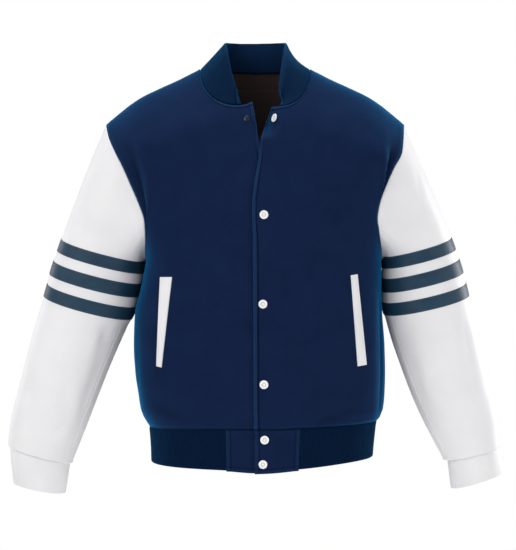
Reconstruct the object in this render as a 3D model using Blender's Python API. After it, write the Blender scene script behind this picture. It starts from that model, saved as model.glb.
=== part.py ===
"""Varsity jacket, filled out as when it is worn, with no wearer in it.

Metres, +Z up. +X is the wearer's left, -Y is the front. The origin lies level with the neck points of the
shoulders, on the middle plane, where the wearer's shoulders carry the jacket.

Every panel is a wall laid through points of one body form. A point of that form is named by a place round the
body (0 at the middle of the front or back, -1 and +1 at the side seams) and by a height.
"""
import math

import bmesh
import bpy
import numpy as np
from mathutils import Matrix, Vector

# ---------------------------------------------------------------- driving dimensions (metres)
WOOL_WALL = 0.0030        # melton with its lining
LEATHER_WALL = 0.0025     # sleeve leather with its lining
RIB_WALL = 0.0035         # rib knit, folded double
CUFF_WALL = 0.0026
BAND_WALL = 0.0010        # sleeve bands
WELT_WALL = 0.0020
LINING_WALL = 0.0010
SEAM_GAP = 0.0007         # between the edges of pieces that are sewn together
LAY_GAP = 0.0006          # between a panel and what lies on it
LINING_GAP = 0.0010
LINING_HEM = 0.12         # share of the panel's top row by which the lining ends below the neck

SEAM_DEPTH = 0.010        # y of the shoulder and side seams
SECTION_POWER = 2.8       # how square the body is, seen from above
SECTION_ASPECT = 0.72     # depth to width of the body
BODY_MIDDLE = (0.0, 0.0, -0.35)
SHOULDER_DROP = 0.120     # height over which the cloth rounds down from the shoulder seam
SHOULDER_POWER = 1.7

FRONT_LAP = 0.0052        # the left front stands this far off the right front
LAP_FADE = (0.038, 0.075)  # x where the lap starts and stops closing on the body form
UNDER_EDGE = 0.033        # x of the right front's hidden edge
NECK_CURL = 0.0405        # how far the open top corner of the left front rolls back
NECK_CURL_ACROSS = (0.020, 0.050)  # x where the roll is full and where it ends
NECK_CURL_HEIGHTS = (-0.132, -0.100)
NECK_CURL_SIDE = 0.012    # the roll starts over this width to the left of the middle

UNDERARM = -0.333         # height of the underarm point
CREASE_ROW = -0.336       # height on the front edge of the row that reaches the underarm
NECK_X = 0.0965           # half width of the neck at the shoulders
WAIST_MIDDLE = -0.616     # height of the waist seam at the middle of the front
BAND_MIDDLE = -0.650      # height of the waistband's middle
TAB_STEPS = 4

SNAP_RADIUS = 0.0077
SNAP_HEIGHT = 0.0022
STUD_RADIUS = 0.0054
STUD_HEIGHT = 0.0030

# steps of the panels' grids
NECK_STEPS = 6
SHOULDER_STEPS = 5
BACK_NECK_STEPS = 3
SIDE_STEPS = 7
ARMHOLE_STEPS = 10
CAP_STEPS = 5
SLEEVE_SEAMS = (7, 14)    # steps from the shoulder round the front to the sleeve's front and back seam
CUFF_STEPS = 26
WAIST_STEPS = (6, 22, 5)
STRIP_STEPS = 2
COLLAR_STEPS = 3

# ---------------------------------------------------------------- tables
# body form: height, half width at the wearer's right, at the left, depth in front, depth behind
BODY = (
    (-0.700, 0.1810, 0.2040, 0.1290, 0.1130),
    (-0.660, 0.1820, 0.2065, 0.1310, 0.1150),
    (-0.634, 0.1838, 0.2092, 0.1327, 0.1166),
    (-0.617, 0.1862, 0.2112, 0.1346, 0.1185),
    (-0.605, 0.1940, 0.2165, 0.1415, 0.1245),
    (-0.590, 0.2000, 0.2230, 0.1480, 0.1290),
    (-0.564, 0.2040, 0.2256, 0.1515, 0.1315),
    (-0.529, 0.2088, 0.2266, 0.1520, 0.1310),
    (-0.480, 0.2115, 0.2255, 0.1515, 0.1300),
    (-0.425, 0.2095, 0.2215, 0.1500, 0.1320),
    (-0.385, 0.2000, 0.2203, 0.1480, 0.1350),
    (-0.350, 0.1930, 0.2202, 0.1465, 0.1375),
    (-0.330, 0.1900, 0.2200, 0.1455, 0.1390),
    (-0.313, 0.1923, 0.2212, 0.1440, 0.1402),
    (-0.286, 0.2000, 0.2260, 0.1415, 0.1410),
    (-0.259, 0.2079, 0.2279, 0.1390, 0.1412),
    (-0.232, 0.2192, 0.2338, 0.1350, 0.1400),
    (-0.204, 0.2327, 0.2456, 0.1295, 0.1380),
    (-0.176, 0.2465, 0.2597, 0.1235, 0.1340),
    (-0.148, 0.2628, 0.2765, 0.1165, 0.1285),
    (-0.120, 0.2775, 0.2815, 0.1090, 0.1210),
    (-0.096, 0.2850, 0.2850, 0.1020, 0.1130),
    (-0.064, 0.2900, 0.2900, 0.0910, 0.1000),
    (-0.030, 0.2920, 0.2920, 0.0840, 0.0890),
    (0.010, 0.2930, 0.2930, 0.0800, 0.0780),
    (0.060, 0.2930, 0.2930, 0.0790, 0.0760),
)
# shoulder seam: distance from the middle, height. Inside the neck it runs on as the form's top.
SHOULDER_FRONT = (
    (0.000, 0.0300),
    (0.050, 0.0180),
    (0.0965, 0.0015),
    (0.133, -0.0165),
    (0.165, -0.0310),
    (0.196, -0.0458),
    (0.217, -0.0592),
    (0.235, -0.0733),
    (0.252, -0.0873),
    (0.263, -0.0965),
)
SHOULDER_BACK = (
    (0.000, 0.0600),
    (0.050, 0.0450),
    (0.080, 0.0200),
) + SHOULDER_FRONT[2:]
# armholes: height, place round the body
ARMHOLE_FRONT = (
    (UNDERARM, 1.00),
    (-0.328, 0.93),
    (-0.318, 0.86),
    (-0.303, 0.78),
    (-0.286, 0.73),
    (-0.260, 0.70),
    (-0.180, 0.70),
    (-0.0965, 0.70),
)
ARMHOLE_BACK = (
    (UNDERARM, 1.00),
    (-0.328, 0.935),
    (-0.318, 0.875),
    (-0.303, 0.81),
    (-0.286, 0.775),
    (-0.260, 0.755),
    (-0.200, 0.745),
    (-0.150, 0.72),
    (-0.0965, 0.70),
)
# neckline of each front from its corner to the shoulder: x, height
NECK_RIGHT = (
    (-0.0048, -0.0639),
    (-0.0235, -0.0700),
    (-0.0450, -0.0688),
    (-0.0650, -0.0612),
    (-0.0815, -0.0460),
    (-0.0925, -0.0250),
    (-NECK_X, 0.0015),
)
NECK_LEFT = (
    (0.0287, -0.0713),
    (0.0405, -0.0722),
    (0.0585, -0.0690),
    (0.0755, -0.0580),
    (0.0885, -0.0395),
    (0.0955, -0.0200),
    (NECK_X, 0.0015),
)
# neckline of the back from the middle to the shoulder: x, height
NECK_BACK = (
    (0.000, 0.0030),
    (0.040, 0.0038),
    (0.075, 0.0036),
    (NECK_X, 0.0015),
)
# collar's top edge over the neckline's points, from its front end to the middle of the back: x, y, height
COLLAR_RIGHT = (
    (-0.0307, -0.0800, -0.0462),
    (-0.0363, -0.0720, -0.0282),
    (-0.0412, -0.0620, -0.0099),
    (-0.0457, -0.0500, 0.0105),
    (-0.0495, -0.0300, 0.0315),
    (-0.0530, 0.0060, 0.0480),
    (-0.0440, 0.0360, 0.0515),
    (-0.0240, 0.0530, 0.0510),
    (0.0010, 0.0580, 0.0500),
)
COLLAR_LEFT = (
    (0.0427, -0.0810, -0.0480),
    (0.0440, -0.0730, -0.0284),
    (0.0461, -0.0620, -0.0082),
    (0.0489, -0.0480, 0.0125),
    (0.0520, -0.0280, 0.0322),
    (0.0550, 0.0080, 0.0480),
    (0.0460, 0.0370, 0.0515),
    (0.0260, 0.0535, 0.0510),
    (0.0010, 0.0580, 0.0500),
)
# how far the collar's side curves in between seam and top: share of the neck from the right front's end, depth
COLLAR_HOLLOW = (
    (0.00, 0.0005),
    (0.32, 0.0005),
    (0.50, 0.0040),
    (0.66, 0.0060),
    (1.00, 0.0060),
)
# front edges: height, x
EDGE_LEFT = (
    (-0.690, -0.0008),
    (-0.616, -0.0016),
    (-0.539, -0.0024),
    (-0.407, -0.0028),
    (-0.300, -0.0033),
    (-0.258, -0.0045),
    (-0.234, -0.0042),
    (-0.200, 0.0000),
    (-0.166, 0.0055),
    (-0.1376, 0.0089),
    (-0.1235, 0.0112),
    (-0.0980, 0.0187),
    (-0.0713, 0.0287),
)
EDGE_RIGHT = (
    (-0.690, UNDER_EDGE),
    (-0.300, UNDER_EDGE),
    (-0.200, 0.0220),
    (-0.160, 0.0130),
    (-0.1375, 0.0080),
    (-0.1260, 0.0055),
    (-0.1046, 0.0027),
    (-0.0824, -0.0011),
    (-0.0639, -0.0048),
)
# waist seam and hem: x, height
WAIST_SEAM = (
    (-0.230, -0.6225),
    (-0.190, -0.6215),
    (-0.060, -0.6168),
    (0.015, -0.6168),
    (0.075, -0.6155),
    (0.210, -0.6110),
    (0.240, -0.6105),
)
HEM_FRONT = (
    (-0.200, -0.6820),
    (-0.181, -0.6825),
    (-0.048, -0.6860),
    (0.000, -0.6890),
    (0.074, -0.6845),
    (0.2045, -0.6735),
    (0.220, -0.6730),
)
HEM_BACK = (
    (-0.200, -0.6820),
    (-0.181, -0.6825),
    (0.000, -0.6815),
    (0.2045, -0.6735),
    (0.220, -0.6730),
)
TAB_LEFT_END = 0.0744
TAB_RIGHT_END = -0.0484

# soft folds of the body: face (-1 front, 1 back), x and height of both ends, half width, depth of the trough
FOLDS = (
    (-1, -0.150, -0.300, -0.085, -0.400, 0.030, 0.0030),
    (-1, -0.165, -0.560, -0.120, -0.450, 0.026, 0.0030),
    (-1, -0.060, -0.600, -0.075, -0.500, 0.022, 0.0022),
    (-1, 0.170, -0.290, 0.120, -0.360, 0.028, 0.0026),
    (-1, 0.120, -0.600, 0.100, -0.500, 0.024, 0.0024),
    (-1, 0.190, -0.590, 0.165, -0.540, 0.020, 0.0022),
    (1, -0.160, -0.300, -0.070, -0.390, 0.032, 0.0036),
    (1, 0.175, -0.290, 0.080, -0.370, 0.030, 0.0034),
    (1, -0.120, -0.600, -0.100, -0.470, 0.026, 0.0028),
    (1, 0.010, -0.600, -0.005, -0.510, 0.024, 0.0024),
    (1, 0.130, -0.595, 0.115, -0.480, 0.026, 0.0028),
)

# sleeves below the cap: outer x, outer height, inner x, inner height, y of the middle, half depth, front drop
SLEEVE_RIGHT = (
    (-0.3433, -0.3082, -0.1955, -0.3476, 0.005, 0.068, 0.0085),
    (-0.3563, -0.3473, -0.2036, -0.3870, 0.002, 0.068, 0.0085),
    (-0.3657, -0.3852, -0.2136, -0.4255, -0.002, 0.066, 0.0085),
    (-0.3806, -0.4375, -0.2353, -0.4764, -0.008, 0.064, 0.0070),
    (-0.3952, -0.4930, -0.2572, -0.5292, -0.016, 0.061, 0.0050),
    (-0.4079, -0.5481, -0.2775, -0.5821, -0.024, 0.057, 0.0030),
    (-0.4209, -0.6031, -0.2966, -0.6325, -0.030, 0.053, 0.0010),
    (-0.4262, -0.6485, -0.3150, -0.6790, -0.034, 0.050, 0.0000),
)
SLEEVE_LEFT = (
    (0.3477, -0.3055, 0.2234, -0.3385, 0.005, 0.072, 0.0085),
    (0.3605, -0.3441, 0.2234, -0.3785, 0.002, 0.072, 0.0085),
    (0.3705, -0.3844, 0.2246, -0.4180, -0.002, 0.070, 0.0085),
    (0.3810, -0.4340, 0.2371, -0.4689, -0.008, 0.066, 0.0070),
    (0.3948, -0.4930, 0.2556, -0.5243, -0.016, 0.061, 0.0050),
    (0.4058, -0.5481, 0.2739, -0.5724, -0.024, 0.057, 0.0030),
    (0.4175, -0.5962, 0.2941, -0.6170, -0.030, 0.053, 0.0010),
    (0.4220, -0.6500, 0.3240, -0.6735, -0.034, 0.050, 0.0000),
)
# cuffs: outer x, outer height, inner x, inner height, y of the middle, half depth, front drop
CUFF_RIGHT = (
    (-0.4194, -0.6546, -0.3197, -0.6823, -0.034, 0.046, 0.0000),
    (-0.4170, -0.6860, -0.3236, -0.7085, -0.035, 0.0445, 0.0000),
    (-0.4131, -0.7183, -0.3275, -0.7349, -0.036, 0.043, 0.0000),
)
CUFF_LEFT = (
    (0.4195, -0.6560, 0.3325, -0.6768, -0.034, 0.046, 0.0000),
    (0.4232, -0.6776, 0.3353, -0.7020, -0.035, 0.0445, 0.0000),
    (0.4262, -0.6993, 0.3384, -0.7266, -0.036, 0.043, 0.0000),
)
CUFF_LAP = 0.50           # angle that the cuff's ends overlap
CUFF_LAP_ANGLE = -0.55    # angle of the outer end, towards the back from the outer side
CUFF_LAP_LIFT = 0.0036
CUFF_LAP_CLOSE = (0.525, 1.30)  # angles past the outer end over which the overlap closes on the cuff
CUFF_SNAP_ROW = 1
SLEEVE_POWER = 2.15       # how square a sleeve's section is
SLEEVE_TURN = 0.65        # how far the sleeve's last wide ring is gathered towards its cuff
SLEEVE_PUFF = 0.0010      # how far the sleeve blouses down over its cuff

# bands on a sleeve: their middle and half width, counted in rows of the sleeve's table
BANDS = (
    (0.00, 0.29),
    (1.00, 0.29),
    (2.00, 0.25),
)

ROW_LENGTH = 0.041         # between the first rows of a sleeve's table
CAP_LEAST = 0.35          # least share of the cap that lies above the first band
CAP_LEAVE_ROW = 0.2       # the row towards which the cap leaves into the sleeve
LAST_BAND_GAP = 0.3       # rows between the last band and the next ring of the sleeve
# directions in which a sleeve leaves the armhole: outward share, y, z
CAP_TOP = (0.40, 0.0, -0.92)
CAP_FRONT = (0.66, 0.10, -0.74)
CAP_UNDER = (0.80, 0.0, -0.60)
CAP_BACK = (0.66, -0.10, -0.74)

# welts: x and height of the upper inner, upper outer, lower outer and lower inner corner
WELT_RIGHT = (
    (-0.1385, -0.3625),
    (-0.1590, -0.3625),
    (-0.1650, -0.5120),
    (-0.1560, -0.5140),
)
WELT_LEFT = (
    (0.1600, -0.3595),
    (0.1715, -0.3578),
    (0.1870, -0.5100),
    (0.1715, -0.5120),
)
WELT_STEPS = (2, 8)

# front snaps: x, height, gap to the cloth
SNAPS = (
    (0.0350, -0.0944, 0.0014),
    (0.0148, -0.2591, 0.0006),
    (0.0131, -0.4072, 0.0006),
    (0.0148, -0.5401, 0.0006),
    (0.0160, -0.6333, 0.0006),
    (0.0132, -0.6744, 0.0004),
)
STUD = (-0.0136, -0.0956)

# looks: colour, roughness, metallic
LOOKS = {
    "navy_wool": ((0.012, 0.022, 0.085), 0.90, 0.0),
    "navy_rib": ((0.010, 0.024, 0.075), 0.85, 0.0),
    "white_leather": ((0.80, 0.79, 0.80), 0.42, 0.0),
    "dark_leather": ((0.016, 0.045, 0.090), 0.22, 0.0),
    "brown_lining": ((0.012, 0.007, 0.006), 0.60, 0.0),
    "white_enamel": ((0.85, 0.85, 0.85), 0.25, 0.0),
    "dark_metal": ((0.10, 0.11, 0.15), 0.35, 1.0),
}


# ---------------------------------------------------------------- small helpers
def column(table, index):
    """One column of a table."""
    return np.array([row[index] for row in table], dtype=float)


def smooth(xs, ys, x):
    """Curve through the points (xs, ys) that never overshoots them, read at x."""
    x = np.clip(np.asarray(x, dtype=float), xs[0], xs[-1])
    step = np.diff(xs)
    rise = np.diff(ys) / step
    slope = np.zeros(len(xs))
    slope[0] = rise[0]
    slope[-1] = rise[-1]
    same = rise[:-1] * rise[1:] > 0.0
    mean = np.where(same, 2.0 * rise[:-1] * rise[1:] / np.where(same, rise[:-1] + rise[1:], 1.0), 0.0)
    slope[1:-1] = mean
    i = np.clip(np.searchsorted(xs, x, side="right") - 1, 0, len(xs) - 2)
    h = step[i]
    t = (x - xs[i]) / h
    value = ys[i] * (1 + 2 * t) * (1 - t) ** 2 + ys[i + 1] * t * t * (3 - 2 * t)
    return value + h * (slope[i] * t * (1 - t) ** 2 - slope[i + 1] * t * t * (1 - t))


def read(table, index, x):
    """One column of a table read at a value of its first column."""
    return smooth(column(table, 0), column(table, index), x)


def through(points, at):
    """Curve through a list of points, read at places counted in points (Catmull-Rom)."""
    points = np.asarray(points, dtype=float)
    last = len(points) - 1
    at = np.clip(np.asarray(at, dtype=float), 0.0, last)
    i = np.minimum(at.astype(int), last - 1)
    t = (at - i).reshape((-1,) + (1,) * (points.ndim - 1))
    before = points[np.maximum(i - 1, 0)]
    start = points[i]
    end = points[i + 1]
    after = points[np.minimum(i + 2, last)]
    leave = (end - before) / 2
    arrive = (after - start) / 2
    a = 2 * start - 2 * end + leave + arrive
    b = -3 * start + 3 * end - 2 * leave - arrive
    return ((a * t + b) * t + leave) * t + start


def ease(value, low, high):
    """0 below low, 1 above high, and soft between."""
    t = np.clip((value - low) / (high - low), 0.0, 1.0)
    return t * t * (3 - 2 * t)


def unit(vectors):
    """Vectors scaled to length 1."""
    length = np.linalg.norm(vectors, axis=-1, keepdims=True)
    return vectors / np.maximum(length, 1e-12)


# ---------------------------------------------------------------- body form
def section_table():
    """Quarter of the body's section: share of its length, of its width and of its depth."""
    angle = np.linspace(0.0, math.pi / 2, 4001)
    across = np.sin(angle) ** (2 / SECTION_POWER)
    out = np.clip(np.cos(angle), 0.0, 1.0) ** (2 / SECTION_POWER)
    length = np.concatenate(([0.0], np.cumsum(np.hypot(np.diff(across), SECTION_ASPECT * np.diff(out)))))
    return length / length[-1], across, out


SECTION_LENGTH, SECTION_ACROSS, SECTION_OUT = section_table()


def half_width(place, height):
    """Half width of the body form at a height, on the side that place lies on."""
    return np.where(place < 0, read(BODY, 1, height), read(BODY, 2, height))


def place_at(x, height):
    """Place round the body of a point given by its x and height."""
    x = np.asarray(x, dtype=float)
    share = np.clip(np.abs(x) / half_width(x, height), 0.0, 1.0)
    return np.sign(x) * np.interp(share, SECTION_ACROSS, SECTION_LENGTH)


def fold_depth(x, height, face):
    """How far the soft folds push the cloth in at a point of the front or back."""
    total = np.zeros(np.broadcast(x, height).shape)
    for fold_face, x0, z0, x1, z1, half, deep in FOLDS:
        if fold_face != face:
            continue
        along = np.array((x1 - x0, z1 - z0))
        share = ((x - x0) * along[0] + (height - z0) * along[1]) / (along @ along)
        share = np.clip(share, 0.0, 1.0)
        away = np.hypot(x - x0 - share * along[0], height - z0 - share * along[1])
        total = total + deep * np.exp(-((away / half) ** 2)) * np.sin(math.pi * (0.15 + 0.7 * share))
    return total


def body_point(place, height, face, lap=False, gap=SEAM_GAP):
    """Point of the body's outside. face is -1 for the front and 1 for the back."""
    place = np.asarray(place, dtype=float)
    height = np.asarray(height, dtype=float)
    place, height = np.broadcast_arrays(place, height)
    size = np.clip(np.abs(place), 0.0, 1.0)
    x = np.sign(place) * half_width(place, height) * np.interp(size, SECTION_LENGTH, SECTION_ACROSS)
    out = np.interp(size, SECTION_LENGTH, SECTION_OUT)
    seam = SHOULDER_FRONT if face < 0 else SHOULDER_BACK
    below = np.clip((read(seam, 1, np.abs(x)) - height) / SHOULDER_DROP, 0.0, 1.0)
    round_over = (1 - (1 - below) ** SHOULDER_POWER) ** (1 / SHOULDER_POWER)
    depth = read(BODY, 3 if face < 0 else 4, height) - face * SEAM_DEPTH
    depth = depth - fold_depth(x, height, face)
    y = SEAM_DEPTH + face * (gap / 2 + depth * out * round_over)
    if face < 0:
        y = y + neck_curl(x, height)
    if lap:
        y = y - FRONT_LAP * (1 - ease(x, *LAP_FADE))
    return np.stack((x, y, height), axis=-1)


def neck_curl(x, height):
    """How far the open top corner of the left front rolls back towards the neck."""
    start, end = NECK_CURL_ACROSS
    across = np.clip((x - start) / (end - start), 0.0, 1.0)
    side = ease(x, 0.0, NECK_CURL_SIDE)
    return NECK_CURL * (1 - across) ** 2 * ease(height, *NECK_CURL_HEIGHTS) * side


# ---------------------------------------------------------------- grids and walls
def blend_patch(bottom, top, left, right):
    """Grid of (place, height) inside four borders. Rows run from bottom to top."""
    u = np.linspace(0, 1, len(bottom))[None, :, None]
    v = np.linspace(0, 1, len(left))[:, None, None]
    along = (1 - v) * bottom[None] + v * top[None]
    up = (1 - u) * left[:, None] + u * right[:, None]
    corners = (1 - u) * ((1 - v) * bottom[0] + v * top[0]) + u * ((1 - v) * bottom[-1] + v * top[-1])
    return along + up - corners


def grid_normals(points, closed=False):
    """Outward normals of a grid whose rows climb and whose columns run either way."""
    if closed:
        across = np.roll(points, -1, axis=1) - np.roll(points, 1, axis=1)
    else:
        across = np.gradient(points, axis=1)
    climb = np.gradient(points, axis=0)
    return unit(np.cross(across, climb))


def facing(normals, points, middle):
    """The same normals, all turned away from a middle point."""
    out = np.sum(normals * (points - middle)) > 0
    return normals if out else -normals


def wall_mesh(outside, normals, thickness, closed=False):
    """Vertices and faces of a closed wall whose outside is a grid of points."""
    rows, columns = outside.shape[:2]
    inside = outside - normals * thickness
    vertices = np.concatenate((outside.reshape(-1, 3), inside.reshape(-1, 3)))
    step = rows * columns
    faces = []
    for j in range(rows - 1):
        for i in range(columns if closed else columns - 1):
            k = (i + 1) % columns
            a = j * columns + i
            b = j * columns + k
            c = (j + 1) * columns + k
            d = (j + 1) * columns + i
            faces.append((a, b, c, d))
            faces.append((a + step, d + step, c + step, b + step))
    for j in (0, rows - 1):
        for i in range(columns if closed else columns - 1):
            k = (i + 1) % columns
            a = j * columns + i
            b = j * columns + k
            faces.append((b, a, a + step, b + step) if j == 0 else (a, b, b + step, a + step))
    if not closed:
        for i in (0, columns - 1):
            for j in range(rows - 1):
                a = j * columns + i
                b = (j + 1) * columns + i
                faces.append((a, b, b + step, a + step) if i == 0 else (b, a, a + step, b + step))
    return vertices, faces


def material(name):
    """The named material, made once."""
    found = bpy.data.materials.get(name)
    if found is None:
        colour, roughness, metallic = LOOKS[name]
        found = bpy.data.materials.new(name)
        found.use_nodes = True
        shader = found.node_tree.nodes["Principled BSDF"]
        shader.inputs["Base Color"].default_value = (*colour, 1.0)
        shader.inputs["Roughness"].default_value = roughness
        shader.inputs["Metallic"].default_value = metallic
        found.diffuse_color = (*colour, 1.0)
    return found


def add_object(name, vertices, faces, look):
    """A mesh object of closed faces turned outwards, with its own material."""
    mesh = bpy.data.meshes.new(name)
    mesh.from_pydata([tuple(map(float, v)) for v in vertices], [], faces)
    work = bmesh.new()
    work.from_mesh(mesh)
    bmesh.ops.recalc_face_normals(work, faces=work.faces)
    bmesh.ops.triangulate(work, faces=work.faces, quad_method="SHORT_EDGE")
    work.to_mesh(mesh)
    work.free()
    mesh.shade_smooth()
    mesh.set_sharp_from_angle(angle=math.radians(50))
    mesh.materials.append(material(look))
    result = bpy.data.objects.new(name, mesh)
    bpy.context.scene.collection.objects.link(result)
    return result


# ---------------------------------------------------------------- borders of the panels
def side_heights(low, middle, high, steps_low, steps_high):
    """Heights of the rows at one edge: evenly up to the underarm's row, and evenly above it."""
    lower = np.linspace(low, middle, steps_low + 1)
    upper = np.linspace(middle, high, steps_high + 1)
    return np.concatenate((lower, upper[1:]))


def shoulder_tip(side):
    """Place and height of the shoulder seam's outer end, where it meets the armhole."""
    place = side * ARMHOLE_FRONT[-1][1]
    height = ARMHOLE_FRONT[-1][0]
    for _ in range(30):
        x = float(half_width(place, height)) * np.interp(abs(place), SECTION_LENGTH, SECTION_ACROSS)
        height = float(read(SHOULDER_FRONT, 1, x))
    return place, height, x


def armhole_border(side, face):
    """(place, height) along an armhole from the underarm to the shoulder, at even lengths."""
    table = ARMHOLE_FRONT if face < 0 else ARMHOLE_BACK
    height = np.linspace(table[0][0], shoulder_tip(side)[1], 801)
    place = side * read(table, 1, height)
    points = body_point(place, height, face)
    length = np.concatenate(([0.0], np.cumsum(np.linalg.norm(np.diff(points, axis=0), axis=1))))
    even = np.linspace(0, length[-1], ARMHOLE_STEPS + 1)
    return np.stack((np.interp(even, length, place), np.interp(even, length, height)), axis=-1)


def side_border(side, face):
    """(place, height) up the side seam and on round the armhole."""
    low = float(read(WAIST_SEAM, 1, side * float(half_width(side, WAIST_MIDDLE)))) + SEAM_GAP
    seam = np.linspace(low, UNDERARM, SIDE_STEPS + 1)
    seam = np.stack((np.full(len(seam), float(side)), seam), axis=-1)
    return np.concatenate((seam[:-1], armhole_border(side, face)))


def shoulder_border(side, steps):
    """(place, height) along the shoulder seam from the neck to the armhole."""
    tip_place, tip_height, tip_x = shoulder_tip(side)
    x = np.linspace(NECK_X, tip_x, steps + 1)
    height = read(SHOULDER_FRONT, 1, x)
    place = place_at(side * x, height)
    place[-1] = tip_place
    return np.stack((place, height), axis=-1)


def to_places(points):
    """(x, height) points as (place, height)."""
    return np.stack((place_at(points[:, 0], points[:, 1]), points[:, 1]), axis=-1)


def waist_border(start, end, steps):
    """(place, height) along the waist seam between two places round the body."""
    place = np.linspace(start, end, steps + 1)
    x = body_point(place, WAIST_MIDDLE, -1)[:, 0]
    return np.stack((place, read(WAIST_SEAM, 1, x) + SEAM_GAP), axis=-1)


def front_grid(side):
    """(place, height) grid of a front. Its first column is the front edge."""
    neck = NECK_LEFT if side > 0 else NECK_RIGHT
    edge = EDGE_LEFT if side > 0 else EDGE_RIGHT
    neckline = to_places(through(neck, np.linspace(0, len(neck) - 1, NECK_STEPS + 1)))
    top = np.concatenate((neckline[:-1], shoulder_border(side, SHOULDER_STEPS)))
    low = float(read(WAIST_SEAM, 1, 0.0)) + SEAM_GAP
    height = side_heights(low, CREASE_ROW, neck[0][1], SIDE_STEPS, ARMHOLE_STEPS)
    front = to_places(np.stack((read(edge, 1, height), height), axis=-1))
    bottom = waist_border(front[0, 0], float(side), NECK_STEPS + SHOULDER_STEPS)
    return blend_patch(bottom, top, front, side_border(side, -1))


def back_grid():
    """(place, height) grid of the back, from the right side to the left."""
    half = through(NECK_BACK, np.linspace(0, len(NECK_BACK) - 1, BACK_NECK_STEPS + 1))
    left = to_places(half)
    right = left[::-1] * (-1, 1)
    shoulder = shoulder_border(1, SHOULDER_STEPS)
    top = np.concatenate((shoulder_border(-1, SHOULDER_STEPS)[::-1][:-1], right[:-1], left[:-1], shoulder))
    bottom = waist_border(-1.0, 1.0, 2 * (BACK_NECK_STEPS + SHOULDER_STEPS))
    return blend_patch(bottom, top, side_border(-1, 1), side_border(1, 1))


# ---------------------------------------------------------------- sleeves
def ring(row, angles):
    """Points round one row of a sleeve's or cuff's table. Angle 0 is the outer side, pi / 2 the front."""
    outer_x, outer_z, inner_x, inner_z, y, half_depth, drop = row
    middle = np.array(((outer_x + inner_x) / 2, y, (outer_z + inner_z) / 2))
    across = np.array((outer_x - inner_x, 0.0, outer_z - inner_z)) / 2
    forward = np.array((0.0, -half_depth, -drop))
    cosine = np.cos(angles)
    sine = np.sin(angles)
    out = np.sign(cosine) * np.abs(cosine) ** (2 / SLEEVE_POWER)
    front = np.sign(sine) * np.abs(sine) ** (2 / SLEEVE_POWER)
    return middle + out[:, None] * across + front[:, None] * forward


def in_ring_plane(normals, row):
    """The same normals, laid in the plane of a row's ring."""
    outer_x, outer_z, inner_x, inner_z, y, half_depth, drop = row
    across = np.array((outer_x - inner_x, 0.0, outer_z - inner_z))
    axis = unit(np.cross(across, (0.0, -half_depth, -drop)))
    return unit(normals - np.sum(normals * axis, axis=-1, keepdims=True) * axis)


def arm_rows(table, places):
    """Rows of a sleeve's table read between its rows."""
    return through(np.array(table), places)


def armhole_loop(fronts, back, side):
    """Armhole's points and the panels' normals there: shoulder, front, underarm, back."""
    front_points = fronts[side]["points"][SIDE_STEPS:, -1][::-1]
    front_normals = fronts[side]["normals"][SIDE_STEPS:, -1][::-1]
    edge = -1 if side > 0 else 0
    back_points = back["points"][SIDE_STEPS:, edge]
    back_normals = back["normals"][SIDE_STEPS:, edge]
    top = (front_points[0] + back_points[-1]) / 2
    under = (front_points[-1] + back_points[0]) / 2
    points = np.concatenate(([top], front_points[1:-1], [under], back_points[1:-1]))
    normals = np.concatenate((front_normals[:-1], back_normals[:-1]))
    return points, unit(normals)


def cap_directions(side, angles):
    """Direction in which the sleeve leaves the armhole, round the armhole."""
    mirror = np.array((side, 1.0, 1.0))
    top = mirror * CAP_TOP
    front = mirror * CAP_FRONT
    under = mirror * CAP_UNDER
    back = mirror * CAP_BACK
    share = (1 - np.cos(2 * angles)) / 2
    pole = np.where((np.cos(angles) > 0)[:, None], top, under)
    middle = np.where((np.sin(angles) > 0)[:, None], front, back)
    return unit(pole * (1 - share)[:, None] + middle * share[:, None])


def sleeve_row(sleeve, place):
    """Ring of a sleeve. Places from 0 up count its table's rows; below 0 they run back over the cap."""
    table = sleeve["table"]
    if place >= 0:
        return ring(arm_rows(table, [place])[0], sleeve["angles"])
    t = np.clip(1 + place * ROW_LENGTH / sleeve["reach"], CAP_LEAST, 1.0)
    return cap_ring(sleeve, t)


def cap_ring(sleeve, t):
    """Ring of the cap at a share t of the way from the armhole to the table's first row."""
    reach = sleeve["reach"]
    start = sleeve["loop"] * (1 + 2 * t) * (1 - t) ** 2 + sleeve["directions"] * reach * t * (1 - t) ** 2
    return start + sleeve["first"] * t * t * (3 - 2 * t) - sleeve["leave"] * reach * t * t * (1 - t)


def sleeve_form(loop, directions, table, angles):
    """What the rings of one sleeve are worked out from."""
    first = ring(table[0], angles)
    leave = unit(ring(arm_rows(table, [CAP_LEAVE_ROW])[0], angles) - first)
    reach = np.linalg.norm(first - loop, axis=1, keepdims=True)
    return {"loop": loop, "directions": directions, "table": table, "angles": angles,
            "first": first, "leave": leave, "reach": reach}


def sleeve_rings(sleeve):
    """Rings of a sleeve from the armhole to its last row, with one under each edge of each band."""
    edges = sorted(middle + sign * half for middle, half in BANDS for sign in (-1, 1))
    last_cap = np.clip(1 + edges[0] * ROW_LENGTH / sleeve["reach"], CAP_LEAST, 1.0)
    rings = [cap_ring(sleeve, last_cap * step / CAP_STEPS) for step in range(CAP_STEPS)]
    whole = [row for row in range(len(sleeve["table"])) if row > edges[-1] + LAST_BAND_GAP]
    return rings + [sleeve_row(sleeve, place) for place in edges + whole]


# ---------------------------------------------------------------- pieces
def mitre(panel_normals, piece_normals):
    """Normals that the edges of two pieces share at their seam."""
    return unit(panel_normals + piece_normals)


def make_panel(grid, face, lap):
    """Points and outward normals of a body panel."""
    points = body_point(grid[..., 0], grid[..., 1], face, lap)
    normals = facing(grid_normals(points), points, np.array(BODY_MIDDLE))
    return {"points": points, "normals": normals}


def flatten_seam(normals, axis):
    """Turn normals along a seam square to one axis."""
    normals[..., axis] = 0.0
    normals[...] = unit(normals)


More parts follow.
